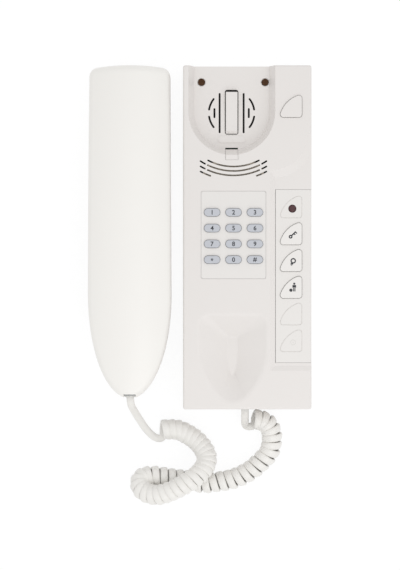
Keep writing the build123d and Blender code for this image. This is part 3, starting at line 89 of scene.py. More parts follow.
# Printed signs, in millimetres round their middle: discs as (radius, x, y, hole) and bars as
# (left, low, right, high)
DOOR_SIGN = (
    [(1.25, -1.75, 0, 0.45)],
    [(-0.55, -0.42, 3.0, 0.42), (0.85, -1.3, 1.55, -0.4), (2.3, -1.45, 3.0, -0.4)],
)
LIGHT_SIGN = (
    [(1.8, 0, 0.9, 1.0)],
    [(-0.85, -1.6, 0.85, -0.85), (-0.6, -2.35, 0.6, -1.8)],
)
SERVICE_SIGN = (
    [(0.7, 0.85, 2.75, 0), (1.05, -1.35, -1.5, 0)],
    [(-0.35, 0.2, 2.05, 1.85), (0.1, -2.3, 0.7, 0.0), (1.0, -2.3, 1.6, 0.0)],
)
RING_SIGN = ([(1.8, 0, 0, 1.45), (0.35, 0, 0, 0)], [])

# Stage: half the floor's side, each lamp's side and place, what the lamps face, and where the camera stands
FLOOR_REACH = 3
KEY_LAMP = (1.2, (0.38, 0.42, 1.3))
FILL_LAMP = (0.4, (0.12, -0.42, 0.5))
LAMP_TARGET = (-0.02, -0.03, 0)
CAMERA_PLACE = (-0.0309, -0.0312)
SENSOR_WIDTH = 36
CAMERA_REACH = 20

# Places along the cord, after those of the solid model, with its loops drawn in a little as in the photograph
CURL_ROUTE = [
    (-0.0553, -0.1271, 0.007),
    (-0.0468, -0.1266, 0.007),
    (-0.0409, -0.1291, 0.007),
    (-0.0329, -0.1341, 0.008),
    (-0.0274, -0.141, 0.011),
    (-0.0259, -0.147, 0.014),
    (-0.0289, -0.153, 0.018),
    (-0.0342, -0.1579, 0.0212),
    (-0.0428, -0.1633, 0.021),
    (-0.0508, -0.1674, 0.0185),
    (-0.0588, -0.17, 0.0165),
    (-0.0654, -0.169, 0.014),
    (-0.0702, -0.1656, 0.0115),
    (-0.0706, -0.1605, 0.0085),
    (-0.0676, -0.1583, 0.007),
    (-0.0609, -0.1577, 0.007),
    (-0.0535, -0.159, 0.007),
    (-0.0455, -0.1602, 0.007),
    (-0.0375, -0.1606, 0.007),
    (-0.0289, -0.1629, 0.007),
    (-0.0209, -0.1619, 0.007),
    (-0.013, -0.1609, 0.007),
    (-0.006, -0.1589, 0.007),
    (0.0019, -0.155, 0.007),
    (0.0079, -0.15, 0.007),
    (0.0129, -0.145, 0.007),
    (0.0159, -0.141, 0.007),
    (0.0169, -0.1341, 0.007),
    (0.0169, -0.1295, 0.007),
    (0.0148, -0.124, 0.007),
    (0.0105, -0.121, 0.007),
    (0.0055, -0.1202, 0.007),
]
HANDSET_LEAD_ROUTE = [
    (-0.0769, -0.104, 0.0172),
    (-0.0769, -0.1095, 0.0172),
    (-0.0743, -0.1148, 0.0108),
    (-0.0705, -0.1215, 0.0055),
    (-0.0662, -0.1282, 0.0017),
    (-0.0605, -0.1334, 0.0014),
    (-0.0553, -0.1334, 0.0014),
    (-0.0553, -0.1301, 0.0014),
]
BASE_LEAD_ROUTE = [
    (0.0055, -0.1222, 0.0014),
    (0.0053, -0.1255, 0.0014),
    (-0.0011, -0.1255, 0.002),
    (-0.0011, -0.1195, 0.01),
    (-0.0011, -0.1133, 0.01),
]


def paint(red, green, blue):
    """Scene colour of a paint swatch given in the usual 0 to 255 steps."""
    channels = []
    for step in (red, green, blue):
        share = step / 255
        channels.append(share / 12.92 if share <= 0.04045 else ((share + 0.055) / 1.055) ** 2.4)
    return (*channels, 1.0)


def colour_property(label, words, swatch):
    """A colour that the sidebar shows."""
    return bpy.props.FloatVectorProperty(
        name=label, description=words, subtype="COLOR", size=4, min=0, max=1, default=paint(*swatch)
    )


def length_property(label, words, size):
    """A length that the sidebar shows."""
    return bpy.props.FloatProperty(name=label, description=words, unit="LENGTH", min=0, default=size)


class IntercomColours(bpy.types.PropertyGroup):
    """Colours of the intercom's plastics, prints and metals"""

    cover: colour_property("Cover", "Warm white of the base's cover", (232, 228, 225))
    handset: colour_property("Handset", "Brighter warm white of the handset", (244, 242, 238))
    panel: colour_property("Panel", "Function panel beside the keypad", (233, 230, 227))
    plate: colour_property("Keypad plate", "Plate round the keys", (232, 229, 226))
    button: colour_property("Buttons", "Function buttons", (236, 233, 230))
    key: colour_property("Keys", "Bluish grey of the keys", (196, 199, 206))
    print_dark: colour_property("Print", "Digits and pictograms", (46, 48, 54))
    cord: colour_property("Cord", "Sheath of the curly cord", (238, 236, 232))
    screw: colour_property("Cover screws", "Yellowed plating of the two cover screws", (86, 63, 47))
    lens: colour_property("Light", "Dark red lens of the status light", (76, 32, 37))


class IntercomSizes(bpy.types.PropertyGroup):
    """Sizes that the finishing pieces add"""

    cord_width: length_property("Cord width", "Width of the flat cord", 0.005)
    cord_thickness: length_property("Cord thickness", "Thickness of the flat cord", 0.0024)
    coil_radius: length_property("Coil radius", "From the coil's axis to the cord's middle", 0.0055)
    tight_pitch: length_property("Tight pitch", "Step between turns near the handset", 0.0044)
    loose_pitch: length_property("Loose pitch", "Step between turns where the cord hangs loose", 0.0058)
    bend_crowding: bpy.props.FloatProperty(
        name="Bend crowding", description="How much closer the turns lie where the curl bends", default=0.45
    )
    cord_lean: bpy.props.FloatProperty(
        name="Cord lean", description="Lean of the flat cord in its turns", subtype="ANGLE", default=0.2
    )
    digit_height: length_property("Digit height", "Height of the digits on the keys", 0.0030)
    print_thickness: length_property("Print thickness", "How far a print stands on its key or panel", 0.00004)


class IntercomStage(bpy.types.PropertyGroup):
    """Camera and lamps"""

    camera_height: length_property("Camera height", "Height of the camera over the floor", 1.5)
    lens: bpy.props.FloatProperty(
        name="Lens", description="Focal length of the camera", unit="CAMERA", min=20, default=142.1
    )
    sky: bpy.props.FloatProperty(name="Sky", description="Strength of the even light", min=0, default=0.85)
    key_light: bpy.props.FloatProperty(
        name="Key lamp", description="Power of the lamp at the upper right", unit="POWER", min=0, default=1.4
    )
    fill_light: bpy.props.FloatProperty(
        name="Fill lamp", description="Power of the low lamp below the base", unit="POWER", min=0, default=0.6
    )


# Finishes: node groups that several materials share, then one function for each finish


def new_group(name, inputs, outputs):
    """An empty shader node group with its sockets."""
    group = bpy.data.node_groups.new(name, "ShaderNodeTree")
    for label, kind, value in inputs:
        socket = group.interface.new_socket(name=label, in_out="INPUT", socket_type=kind)
        socket.default_value = value
    for label, kind in outputs:
        group.interface.new_socket(name=label, in_out="OUTPUT", socket_type=kind)
    start = group.nodes.new("NodeGroupInput")
    end = group.nodes.new("NodeGroupOutput")
    return group, start, end


def feed(tree, socket, value):
    """Links a socket to the one that feeds it, or gives it a plain value."""
    if isinstance(value, bpy.types.NodeSocket):
        tree.links.new(value, socket)
    else:
        socket.default_value = value


def object_place(tree):
    """Coordinates in the object's own frame."""
    return tree.nodes.new("ShaderNodeTexCoord").outputs["Object"]


def noise(tree, place, scale, detail):
    """A noise texture read at given coordinates."""
    node = tree.nodes.new("ShaderNodeTexNoise")
    for label, value in (("Vector", place), ("Scale", scale), ("Detail", detail)):
        feed(tree, node.inputs[label], value)
    return node.outputs["Fac"]


def blend_colours(tree, factor, first, second):
    """A mix of two colours by a factor that changes over the surface."""
    mix = tree.nodes.new("ShaderNodeMix")
    mix.data_type = "RGBA"
    for index, value in ((0, factor), (6, first), (7, second)):
        feed(tree, mix.inputs[index], value)
    return mix.outputs[2]


def remap(tree, value, low, high):
    """A value from 0 to 1 moved to a narrower range."""
    node = tree.nodes.new("ShaderNodeMapRange")
    for label, end in (("Value", value), ("To Min", low), ("To Max", high)):
        feed(tree, node.inputs[label], end)
    return node.outputs["Result"]


def moulded_group():
    """Moulded surface: faint cloudiness in colour and gloss, and a fine grain from the tool."""
    group = bpy.data.node_groups.get("moulded surface")
    if group:
        return group
    group, start, end = new_group(
        "moulded surface",
        [
            ("Colour", "NodeSocketColor", (0.8, 0.8, 0.8, 1)),
            ("Shade", "NodeSocketColor", (0.7, 0.7, 0.7, 1)),
            ("Gloss Low", "NodeSocketFloat", 0.3),
            ("Gloss High", "NodeSocketFloat", 0.4),
            ("Grain Scale", "NodeSocketFloat", 2500.0),
            ("Grain Depth", "NodeSocketFloat", 0.00002),
        ],
        [("Colour", "NodeSocketColor"), ("Roughness", "NodeSocketFloat"), ("Normal", "NodeSocketVector")],
    )
    place = object_place(group)
    cloud = noise(group, place, scale=38.0, detail=3.0)
    colour = blend_colours(group, cloud, start.outputs["Colour"], start.outputs["Shade"])
    group.links.new(colour, end.inputs["Colour"])
    smear = noise(group, place, scale=90.0, detail=4.0)
    gloss = remap(group, smear, start.outputs["Gloss Low"], start.outputs["Gloss High"])
    group.links.new(gloss, end.inputs["Roughness"])
    grain = noise(group, place, scale=start.outputs["Grain Scale"], detail=2.0)
    bump = group.nodes.new("ShaderNodeBump")
    bump.inputs["Strength"].default_value = 0.5
    group.links.new(grain, bump.inputs["Height"])
    group.links.new(start.outputs["Grain Depth"], bump.inputs["Distance"])
    group.links.new(bump.outputs["Normal"], end.inputs["Normal"])
    return group


def new_finish(name):
    """A material with its Principled shader."""
    finish = bpy.data.materials.new(name)
    finish.use_nodes = True
    return finish, finish.node_tree, finish.node_tree.nodes["Principled BSDF"]


def darker(colour, share):
    """The same colour, a little deeper."""
    return (colour[0] * share, colour[1] * share, colour[2] * share, 1.0)


def moulded(name, colour, gloss, shade, grain=(2500.0, 0.00002), coat=0.0, sheen=0.0):
    """Moulded plastic or rubber, from the shared surface with its own values."""
    finish, tree, shader = new_finish(name)
    surface = tree.nodes.new("ShaderNodeGroup")
    surface.node_tree = moulded_group()
    values = (tuple(colour), darker(colour, shade), *gloss, *grain)
    for socket, value in zip(surface.inputs, values):
        socket.default_value = value
    for made, wanted in (("Colour", "Base Color"), ("Roughness", "Roughness"), ("Normal", "Normal")):
        tree.links.new(surface.outputs[made], shader.inputs[wanted])
    shader.inputs["Coat Weight"].default_value = coat
    shader.inputs["Sheen Weight"].default_value = sheen
    return finish


def metal(name, colour, gloss, fineness, stretch):
    """Plated or machined metal with fine marks along one direction."""
    finish, tree, shader = new_finish(name)
    mapping = tree.nodes.new("ShaderNodeMapping")
    mapping.inputs["Scale"].default_value = stretch
    tree.links.new(object_place(tree), mapping.inputs["Vector"])
    marks = noise(tree, mapping.outputs["Vector"], scale=fineness, detail=5.0)
    tint = blend_colours(tree, marks, colour, darker(colour, share=0.82))
    tree.links.new(tint, shader.inputs["Base Color"])
    tree.links.new(remap(tree, marks, *gloss), shader.inputs["Roughness"])
    shader.inputs["Metallic"].default_value = 1.0
    return finish


def circuit_board(name):
    """Green board: copper tracks under the mask as a fine maze of lines."""
    finish, tree, shader = new_finish(name)
    place = object_place(tree)
    tracks = tree.nodes.new("ShaderNodeTexBrick")
    tracks.offset = 0.37
    tracks.inputs["Scale"].default_value = 170.0
    tracks.inputs["Mortar Size"].default_value = 0.035
    tracks.inputs["Color1"].default_value = paint(24, 84, 44)
    tracks.inputs["Color2"].default_value = paint(28, 92, 50)
    tracks.inputs["Mortar"].default_value = paint(64, 140, 84)
    tree.links.new(place, tracks.inputs["Vector"])
    tree.links.new(tracks.outputs["Color"], shader.inputs["Base Color"])
    cloud = noise(tree, place, scale=120.0, detail=3.0)
    tree.links.new(remap(tree, cloud, low=0.25, high=0.4), shader.inputs["Roughness"])
    return finish


def cloth(name):
    """Fine woven dark cloth."""
    finish, tree, shader = new_finish(name)
    place = object_place(tree)
    weave = tree.nodes.new("ShaderNodeTexChecker")
    weave.inputs["Scale"].default_value = 2400.0
    weave.inputs["Color1"].default_value = paint(20, 20, 20)
    weave.inputs["Color2"].default_value = paint(38, 37, 36)
    tree.links.new(place, weave.inputs["Vector"])
    tree.links.new(weave.outputs["Color"], shader.inputs["Base Color"])
    cloud = noise(tree, place, scale=900.0, detail=2.0)
    tree.links.new(remap(tree, cloud, low=0.8, high=0.95), shader.inputs["Roughness"])
    return finish


def resin_lens(name, colour):
    """Status light: cloudy diffusing resin with a thin clear coat."""
    finish, tree, shader = new_finish(name)
    place = object_place(tree)
    cloud = noise(tree, place, scale=260.0, detail=3.0)
    tint = blend_colours(tree, cloud, colour, darker(colour, share=0.7))
    tree.links.new(tint, shader.inputs["Base Color"])
    tree.links.new(remap(tree, cloud, low=0.12, high=0.22), shader.inputs["Roughness"])
    shader.inputs["Coat Weight"].default_value = 0.2
    return finish


def clear_plastic(name):
    """Clear moulded plug, a little milky."""
    finish, tree, shader = new_finish(name)
    place = object_place(tree)
    cloud = noise(tree, place, scale=300.0, detail=3.0)
    tint = blend_colours(tree, cloud, paint(236, 238, 238), paint(222, 226, 228))
    tree.links.new(tint, shader.inputs["Base Color"])
    tree.links.new(remap(tree, cloud, low=0.08, high=0.2), shader.inputs["Roughness"])
    shader.inputs["Transmission Weight"].default_value = 0.6
    shader.inputs["IOR"].default_value = 1.49
    return finish


def finishes():
    """Every finish of the intercom, made once and found again by its name."""
    colours = bpy.context.scene.intercom_colours
    recipes = {
        # Moulded: colour, least and greatest roughness, brightness of the deeper shade, grain's scale and
        # depth, coat, sheen
        "cover white": (moulded, colours.cover, (0.34, 0.46), 0.985, (2200.0, 0.00003)),
        "handset white": (moulded, colours.handset, (0.30, 0.38), 0.985, (1500.0, 0.00001), 0.05),
        "panel white": (moulded, colours.panel, (0.38, 0.48), 0.985, (2600.0, 0.00003)),
        "plate white": (moulded, colours.plate, (0.36, 0.46), 0.985, (2600.0, 0.00003)),
        "button white": (moulded, colours.button, (0.28, 0.38), 0.985, (2600.0, 0.00002)),
        "key blue grey": (moulded, colours.key, (0.26, 0.36), 0.96, (2600.0, 0.00002), 0.1),
        "dark print": (moulded, colours.print_dark, (0.45, 0.6), 0.9),
        "cord sheath": (moulded, colours.cord, (0.30, 0.42), 0.97, (1800.0, 0.00002), 0.05),
        "black plastic": (moulded, paint(28, 28, 29), (0.4, 0.55), 0.8),
        "green plastic": (moulded, paint(44, 122, 70), (0.35, 0.45), 0.9),
        "silicone": (moulded, paint(176, 178, 180), (0.55, 0.7), 0.95, (2500.0, 0.00002), 0.0, 0.2),
        "black rubber": (moulded, paint(30, 30, 31), (0.65, 0.8), 0.85, (2500.0, 0.00002), 0.0, 0.2),
        "foam": (moulded, paint(62, 62, 64), (0.85, 0.95), 0.6, (1400.0, 0.0002)),
        "cone paper": (moulded, paint(52, 50, 48), (0.75, 0.9), 0.8, (900.0, 0.00012)),
        "cast weight": (moulded, paint(96, 96, 98), (0.5, 0.7), 0.75, (700.0, 0.0001)),
        "pale cone": (moulded, paint(214, 206, 193), (0.7, 0.85), 0.94, (900.0, 0.0001)),
        "faint print": (moulded, paint(222, 220, 216), (0.45, 0.6), 0.96),
        # Metal: colour, least and greatest roughness, fineness of its marks, their stretch along X, Y and Z
        "steel": (metal, paint(188, 188, 190), (0.25, 0.4), 700.0, (1, 1, 0.1)),
        "aluminium": (metal, paint(206, 207, 209), (0.3, 0.42), 500.0, (1, 0.1, 1)),
        "brown screw": (metal, colours.screw, (0.35, 0.5), 600.0, (1, 1, 0.2)),
        "board green": (circuit_board,),
        "dark cloth": (cloth,),
        "red lens": (resin_lens, colours.lens),
        "clear plug": (clear_plastic,),
    }
    made = {}
    for name, (make, *values) in recipes.items():
        made[name] = bpy.data.materials.get(name) or make(name, *values)
    return made


# Shaping helpers


def finish_nodes(names, finish):
    """The same finish on several solid nodes."""
    for name in names:
        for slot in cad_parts[name].material_slots:
            slot.material = finishes()[finish]


def new_piece(name, shape, finish):
    """A piece in the scene from a bmesh."""
    mesh = bpy.data.meshes.new(name)
    shape.to_mesh(mesh)
    shape.free()
    mesh.materials.append(finish)
    piece = bpy.data.objects.new(name, mesh)
    bpy.context.scene.collection.objects.link(piece)
    return piece


def shade_smooth(piece, angle):
    """Smooth faces, with creases where they turn by more than an angle."""
    piece.data.shade_smooth()
    piece.data.set_sharp_from_angle(angle=math.radians(angle))


# The curly cord


def smooth_line(route):
    """Points along the smooth NURBS line of a route."""
    curve = bpy.data.curves.new("route", "CURVE")
    curve.dimensions = "3D"
    curve.resolution_u = 24
    spline = curve.splines.new("NURBS")
    spline.points.add(len(route) - 1)
    for point, place in zip(spline.points, route):
        point.co = (*place, 1)
    spline.order_u = 3
    spline.use_endpoint_u = True
    holder = bpy.data.objects.new("route", curve)
    mesh = bpy.data.meshes.new_from_object(holder)
    line = [vertex.co.copy() for vertex in mesh.vertices]
    bpy.data.objects.remove(holder)
    bpy.data.meshes.remove(mesh)
    bpy.data.curves.remove(curve)
    return line


def run_lengths(line):
    """Length along a line at each of its points."""
    lengths = [0.0]
    for before, after in zip(line, line[1:]):
        lengths.append(lengths[-1] + (after - before).length)
    return lengths


def at_length(line, lengths, reach):
    """Place and heading on a line at a length along it."""
    index = min(max(bisect.bisect_left(lengths, reach), 1), len(line) - 1)
    run = lengths[index] - lengths[index - 1]
    place = line[index - 1].lerp(line[index], (reach - lengths[index - 1]) / run)
    around = line[min(index + 1, len(line) - 1)] - line[max(index - 2, 0)]
    return place, around.normalized()


def lead_stations(route):
    """Place, outward side and lean along a lead, which lies flat on the floor."""
    line = smooth_line(route)
    lengths = run_lengths(line)
    steps = round(lengths[-1] / LEAD_STEP)
    return [(at_length(line, lengths, lengths[-1] * step / steps)[0], Vector((0, 0, -1)), 0.0)
            for step in range(steps + 1)]


def pitch_at(share, sizes):
    """Step between the curl's turns: tight near the handset, then loose, closer again at the base."""
    ease = min(max((share - OPEN_FROM) / OPEN_RUN, 0.0), 1.0, (CLOSE_AT - share) / CLOSE_RUN)
    return sizes.tight_pitch + (sizes.loose_pitch - sizes.tight_pitch) * ease


def turns_along(line, lengths, sizes):
    """How many turns the curl has made at each step along its line, crowded where the line bends."""
    stride = lengths[-1] / CURL_STEPS
    turns = [0.0]
    for step in range(CURL_STEPS):
        reach = (step + 0.5) * stride
        before, after = (at_length(line, lengths, reach + side)[1] for side in (-BEND_REACH, BEND_REACH))
        bend = (after - before).length / (2 * BEND_REACH)
        crowding = 1 - sizes.bend_crowding * min(bend * sizes.coil_radius, 1)
        turns.append(turns[-1] + stride / (pitch_at(reach / lengths[-1], sizes) * crowding))
    return turns


def curl_stations(sizes):
    """Place, outward side and lean along the curl, a right-hand helix that starts and ends below."""
    line = smooth_line(CURL_ROUTE)
    lengths = run_lengths(line)
    turns = turns_along(line, lengths, sizes)
    last = round(turns[-1]) * TURN_PLACES
    stations = []
    for count in range(last + 1):
        wanted = turns[-1] * count / last
        step = min(max(bisect.bisect_left(turns, wanted), 1), CURL_STEPS)
        part = (wanted - turns[step - 1]) / (turns[step] - turns[step - 1])
        centre, heading = at_length(line, lengths, (step - 1 + part) / CURL_STEPS * lengths[-1])
        aside = heading.cross(Vector((0, 0, 1))).normalized()
        upward = aside.cross(heading)
        angle = math.pi / 2 + 2 * math.pi * count / TURN_PLACES
        outward = aside * math.cos(angle) - upward * math.sin(angle)
        lean = min(count / TURN_PLACES, (last - count) / TURN_PLACES, 1.0)
        stations.append((centre + outward * sizes.coil_radius, outward, lean))
    return stations


def flat_cord_mesh(stations, sizes):
    """Flat cord with round edges, extruded ring by ring through its stations."""
    shape = bmesh.new()
    ring = bmesh.ops.create_circle(shape, segments=CORD_POINTS, radius=1)["verts"]
    outline = []
    for vertex in ring:
        side, depth = (
            math.copysign(abs(value) ** power, value) for value, power in zip(vertex.co, CORD_SQUARENESS)
        )
        outline.append((side * sizes.cord_width / 2, depth * sizes.cord_thickness / 2))
    edges = list(shape.edges)
    places = [station[0] for station in stations]
    for index, (place, outward, lean) in enumerate(stations):
        if index:
            grown = bmesh.ops.extrude_edge_only(shape, edges=edges)["geom"]
            fresh = {part for part in grown if isinstance(part, bmesh.types.BMVert)}
            edges = [part for part in grown if isinstance(part, bmesh.types.BMEdge)]
            ring = [next(edge.other_vert(old) for edge in old.link_edges if edge.other_vert(old) in fresh)
                    for old in ring]
        heading = (places[min(index + 1, len(places) - 1)] - places[max(index - 1, 0)]).normalized()
        flat = (outward - heading * outward.dot(heading)).normalized()
        flat = Matrix.Rotation(lean * sizes.cord_lean, 3, heading) @ flat
        across = heading.cross(flat)
        for vertex, (side, depth) in zip(ring, outline):
            vertex.co = place + across * side + flat * depth
    open_edges = [edge for edge in shape.edges if edge.is_boundary]
    bmesh.ops.holes_fill(shape, edges=open_edges, sides=0)
    bmesh.ops.recalc_face_normals(shape, faces=shape.faces)
    return shape


class INTERCOM_OT_curly_cord(bpy.types.Operator):
    """Lays the flat curly cord from the handset's plug to the base's plug"""

    bl_idname = "intercom.curly_cord"
    bl_label = "Curly cord"

    def execute(self, context):
        sizes = context.scene.intercom_sizes
        stations = lead_stations(HANDSET_LEAD_ROUTE) + curl_stations(sizes) + lead_stations(BASE_LEAD_ROUTE)
        path = [station[0] for station in stations]
        length = run_lengths(path)[-1]
        cord = new_piece("curly_cord", flat_cord_mesh(stations, sizes), finishes()["cord sheath"])
        shade_smooth(cord, 60)
        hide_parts("cord_handset_lead", "cord_curl", "cord_base_lead")
        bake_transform(cord)
        print(f"cord: {length * 1000:.0f} mm along its middle")
        return {"FINISHED"}


# Finishes of the solid nodes


class INTERCOM_OT_housing(bpy.types.Operator):
    """Gives the base's cover, plates, tab and hook lever their moulded finish"""

    bl_idname = "intercom.housing"
    bl_label = "Base housing"

    def execute(self, context):
        finish_nodes(("front_cover", "rear_plate", "handset_tab", "hook_lever"), "cover white")
        finish_nodes(("function_panel",), "panel white")
        finish_nodes(("keypad_plate",), "plate white")
        finish_nodes(("cover_screws",), "brown screw")
        finish_nodes(("status_light",), "red lens")
        return {"FINISHED"}


class INTERCOM_OT_handset(bpy.types.Operator):
    """Gives the handset's shells and what they hold their finishes"""

    bl_idname = "intercom.handset"
    bl_label = "Handset"

    def execute(self, context):
        finish_nodes(("handset_outer_shell", "handset_inner_shell", "handset_jack"), "handset white")
        finish_nodes(("earpiece_frame",), "black plastic")
        finish_nodes(("earpiece_cone",), "cone paper")
        finish_nodes(("earpiece_magnet", "handset_screws"), "steel")
        finish_nodes(("earpiece_gasket",), "foam")
        finish_nodes(("microphone_capsule",), "aluminium")
        finish_nodes(("microphone_boot",), "black rubber")
        finish_nodes(("handset_weight",), "cast weight")
        finish_nodes(("handset_plug", "base_plug"), "clear plug")
        return {"FINISHED"}


class INTERCOM_OT_insides(bpy.types.Operator):
    """Gives the boards, switches, ringer, spring and terminals inside the base their finishes"""

    bl_idname = "intercom.insides"
    bl_label = "Inside parts"

    def execute(self, context):
        finish_nodes(("key_board", "main_board"), "board green")
        finish_nodes(("key_mat",), "silicone")
        finish_nodes(("tact_switches", "hook_switch", "switch_plunger", "base_jack"), "black plastic")
        finish_nodes(("hook_pivot_pin", "hook_spring", "ringer_magnet"), "steel")
        finish_nodes(("board_screws", "terminal_screws"), "steel")
        finish_nodes(("ringer_frame", "ringer_cone"), "pale cone")
        finish_nodes(("grille_cloth",), "dark cloth")
        finish_nodes(("terminal_block",), "green plastic")
        return {"FINISHED"}


# Printed marks


def print_on(shape, name, node, body, offset=(0.0, 0.0), turn=0.0, finish="dark print"):
    """Sets a printed mark, made round the origin, on the top of a node."""
    low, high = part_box(node)
    centre = Vector(((low[0] + high[0]) / 2 + offset[0], (low[1] + high[1]) / 2 + offset[1], high[2]))
    turned = Matrix.Rotation(math.radians(turn), 3, "Z")
    bmesh.ops.rotate(shape, verts=shape.verts, cent=(0, 0, 0), matrix=turned)
    bmesh.ops.translate(shape, verts=shape.verts, vec=centre)
    bmesh.ops.recalc_face_normals(shape, faces=shape.faces)
    mark = new_piece(name, shape, finishes()[finish])
    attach(mark, body)


def glyph_shape(text, height, thickness):
    """A digit or sign as a flat solid with its middle at the origin and its underside on the floor."""
    letters = bpy.data.curves.new("glyph", "FONT")
    letters.body = text
    letters.extrude = thickness / 2
    letters.offset = STROKE_OFFSET
    letters.resolution_u = 6
    holder = bpy.data.objects.new("glyph", letters)
    mesh = bpy.data.meshes.new_from_object(holder)
    shape = bmesh.new()
    shape.from_mesh(mesh)
    bpy.data.objects.remove(holder)
    bpy.data.meshes.remove(mesh)
    bpy.data.curves.remove(letters)
    bmesh.ops.remove_doubles(shape, verts=shape.verts, dist=1e-5)
    tall = [vertex.co.y for vertex in shape.verts]
    wide = [vertex.co.x for vertex in shape.verts]
    middle = Vector(((min(wide) + max(wide)) / 2, (min(tall) + max(tall)) / 2, -thickness / 2))
    bmesh.ops.translate(shape, verts=shape.verts, vec=-middle)
    share = height / (max(tall) - min(tall))
    bmesh.ops.scale(shape, verts=shape.verts, vec=(share, share, 1))
    return shape


class INTERCOM_OT_key_digits(bpy.types.Operator):
    """Finishes the twelve keys and prints a digit or sign on each"""

    bl_idname = "intercom.key_digits"
    bl_label = "Keys and digits"

    def execute(self, context):
        sizes = context.scene.intercom_sizes
        for mark in "123456789*0#":
            word = {"*": "star", "#": "hash"}.get(mark, mark)
            node = "key_" + word
            finish_nodes((node,), "key blue grey")
            height = sizes.digit_height * (STAR_SHARE if mark == "*" else 1)
            shape = glyph_shape("6" if mark == "9" else mark, height, sizes.print_thickness)
            print_on(shape, "digit_" + word, node, node, turn=180 if mark == "9" else 0)
        return {"FINISHED"}


def flat_disc(shape, radius, place, hole):
    """Flat faces of a disc or ring round a place."""
    rims = []
    for size in (radius, hole) if hole else (radius,):
        made = bmesh.ops.create_circle(shape, segments=DISC_SIDES, radius=size, cap_ends=not hole)
        bmesh.ops.translate(shape, verts=made["verts"], vec=(*place, 0))
        rims.append(made["verts"])
    if not hole:
        return {face for vertex in rims[0] for face in vertex.link_faces}
    edges = {edge for rim in rims for vertex in rim for edge in vertex.link_edges}
    return bmesh.ops.bridge_loops(shape, edges=list(edges))["faces"]


def flat_bar(shape, left, low, right, high):
    """Flat face of a bar."""
    made = bmesh.ops.create_grid(shape, x_segments=1, y_segments=1, size=0.5)
    bmesh.ops.scale(shape, verts=made["verts"], vec=(right - left, high - low, 1))
    bmesh.ops.translate(shape, verts=made["verts"], vec=((left + right) / 2, (low + high) / 2, 0))
    return {face for vertex in made["verts"] for face in vertex.link_faces}


def sign_shape(discs, bars, thickness):
    """A printed sign from discs and bars given in millimetres, raised to the print's thickness."""
    shape = bmesh.new()
    parts = [flat_disc(shape, radius, (x, y), hole) for radius, x, y, hole in discs]
    parts += [flat_bar(shape, *sides) for sides in bars]
    bmesh.ops.scale(shape, verts=shape.verts, vec=(MM, MM, MM))
    for faces in parts:
        grown = bmesh.ops.extrude_face_region(shape, geom=list(faces))["geom"]
        top = [part for part in grown if isinstance(part, bmesh.types.BMVert)]
        bmesh.ops.translate(shape, verts=top, vec=(0, 0, thickness))
    return shape


class INTERCOM_OT_function_buttons(bpy.types.Operator):
    """Finishes the four function buttons and prints plain signs on three of them and on the panel"""

    bl_idname = "intercom.function_buttons"
    bl_label = "Function buttons"

    def execute(self, context):
        finish_nodes(("door_button", "light_button", "service_button"), "button white")
        finish_nodes(("call_button",), "cover white")

        def sign(discs, bars):
            return sign_shape(discs, bars, context.scene.intercom_sizes.print_thickness)

        print_on(sign(*DOOR_SIGN), "door_sign", "door_button", "door_button", (0.9 * MM, -0.7 * MM), 45)
        print_on(sign(*LIGHT_SIGN), "light_sign", "light_button", "light_button", (1.0 * MM, -1.0 * MM), -25)
        service_place = (1.2 * MM, -0.4 * MM)
        print_on(sign(*SERVICE_SIGN), "service_sign", "service_button", "service_button", service_place)
        blank_place = (-0.2 * MM, -43.3 * MM)
        print_on(sign(*RING_SIGN), "blank_place_sign", "function_panel", "base", blank_place, 0, "faint print")
        return {"FINISHED"}


# Stage


def white_floor():
    """Pale floor that the camera sees as white, with the object's shadow kept."""
    finish, tree, shader = new_finish("pale floor")
    place = object_place(tree)
    cloud = noise(tree, place, scale=3.0, detail=2.0)
    shade = blend_colours(tree, cloud, (0.90, 0.90, 0.90, 1), (0.88, 0.88, 0.88, 1))
    tree.links.new(shade, shader.inputs["Base Color"])
    shader.inputs["Roughness"].default_value = 0.9
    shader.inputs["Specular IOR Level"].default_value = 0.0
    shown = tree.nodes.new("ShaderNodeBsdfDiffuse")
    shown.inputs["Color"].default_value = (0.10, 0.10, 0.10, 1)
    glow = tree.nodes.new("ShaderNodeEmission")
    glow.inputs["Strength"].default_value = 0.92
    both = tree.nodes.new("ShaderNodeAddShader")
    tree.links.new(shown.outputs["BSDF"], both.inputs[0])
    tree.links.new(glow.outputs["Emission"], both.inputs[1])
    choice = tree.nodes.new("ShaderNodeMixShader")
    tree.links.new(seen_by_eye(tree), choice.inputs["Fac"])
    tree.links.new(shader.outputs["BSDF"], choice.inputs[1])
    tree.links.new(both.outputs["Shader"], choice.inputs[2])
    tree.links.new(choice.outputs["Shader"], tree.nodes["Material Output"].inputs["Surface"])
    return finish


def seen_by_eye(tree):
    """One for rays that the camera sends, also by way of gloss and glass."""
    rays = tree.nodes.new("ShaderNodeLightPath")
    total = rays.outputs["Is Camera Ray"]
    for label in ("Is Glossy Ray", "Is Transmission Ray"):
        join = tree.nodes.new("ShaderNodeMath")
        join.operation = "ADD"
        join.use_clamp = True
        tree.links.new(total, join.inputs[0])
        tree.links.new(rays.outputs[label], join.inputs[1])
        total = join.outputs["Value"]
    return total


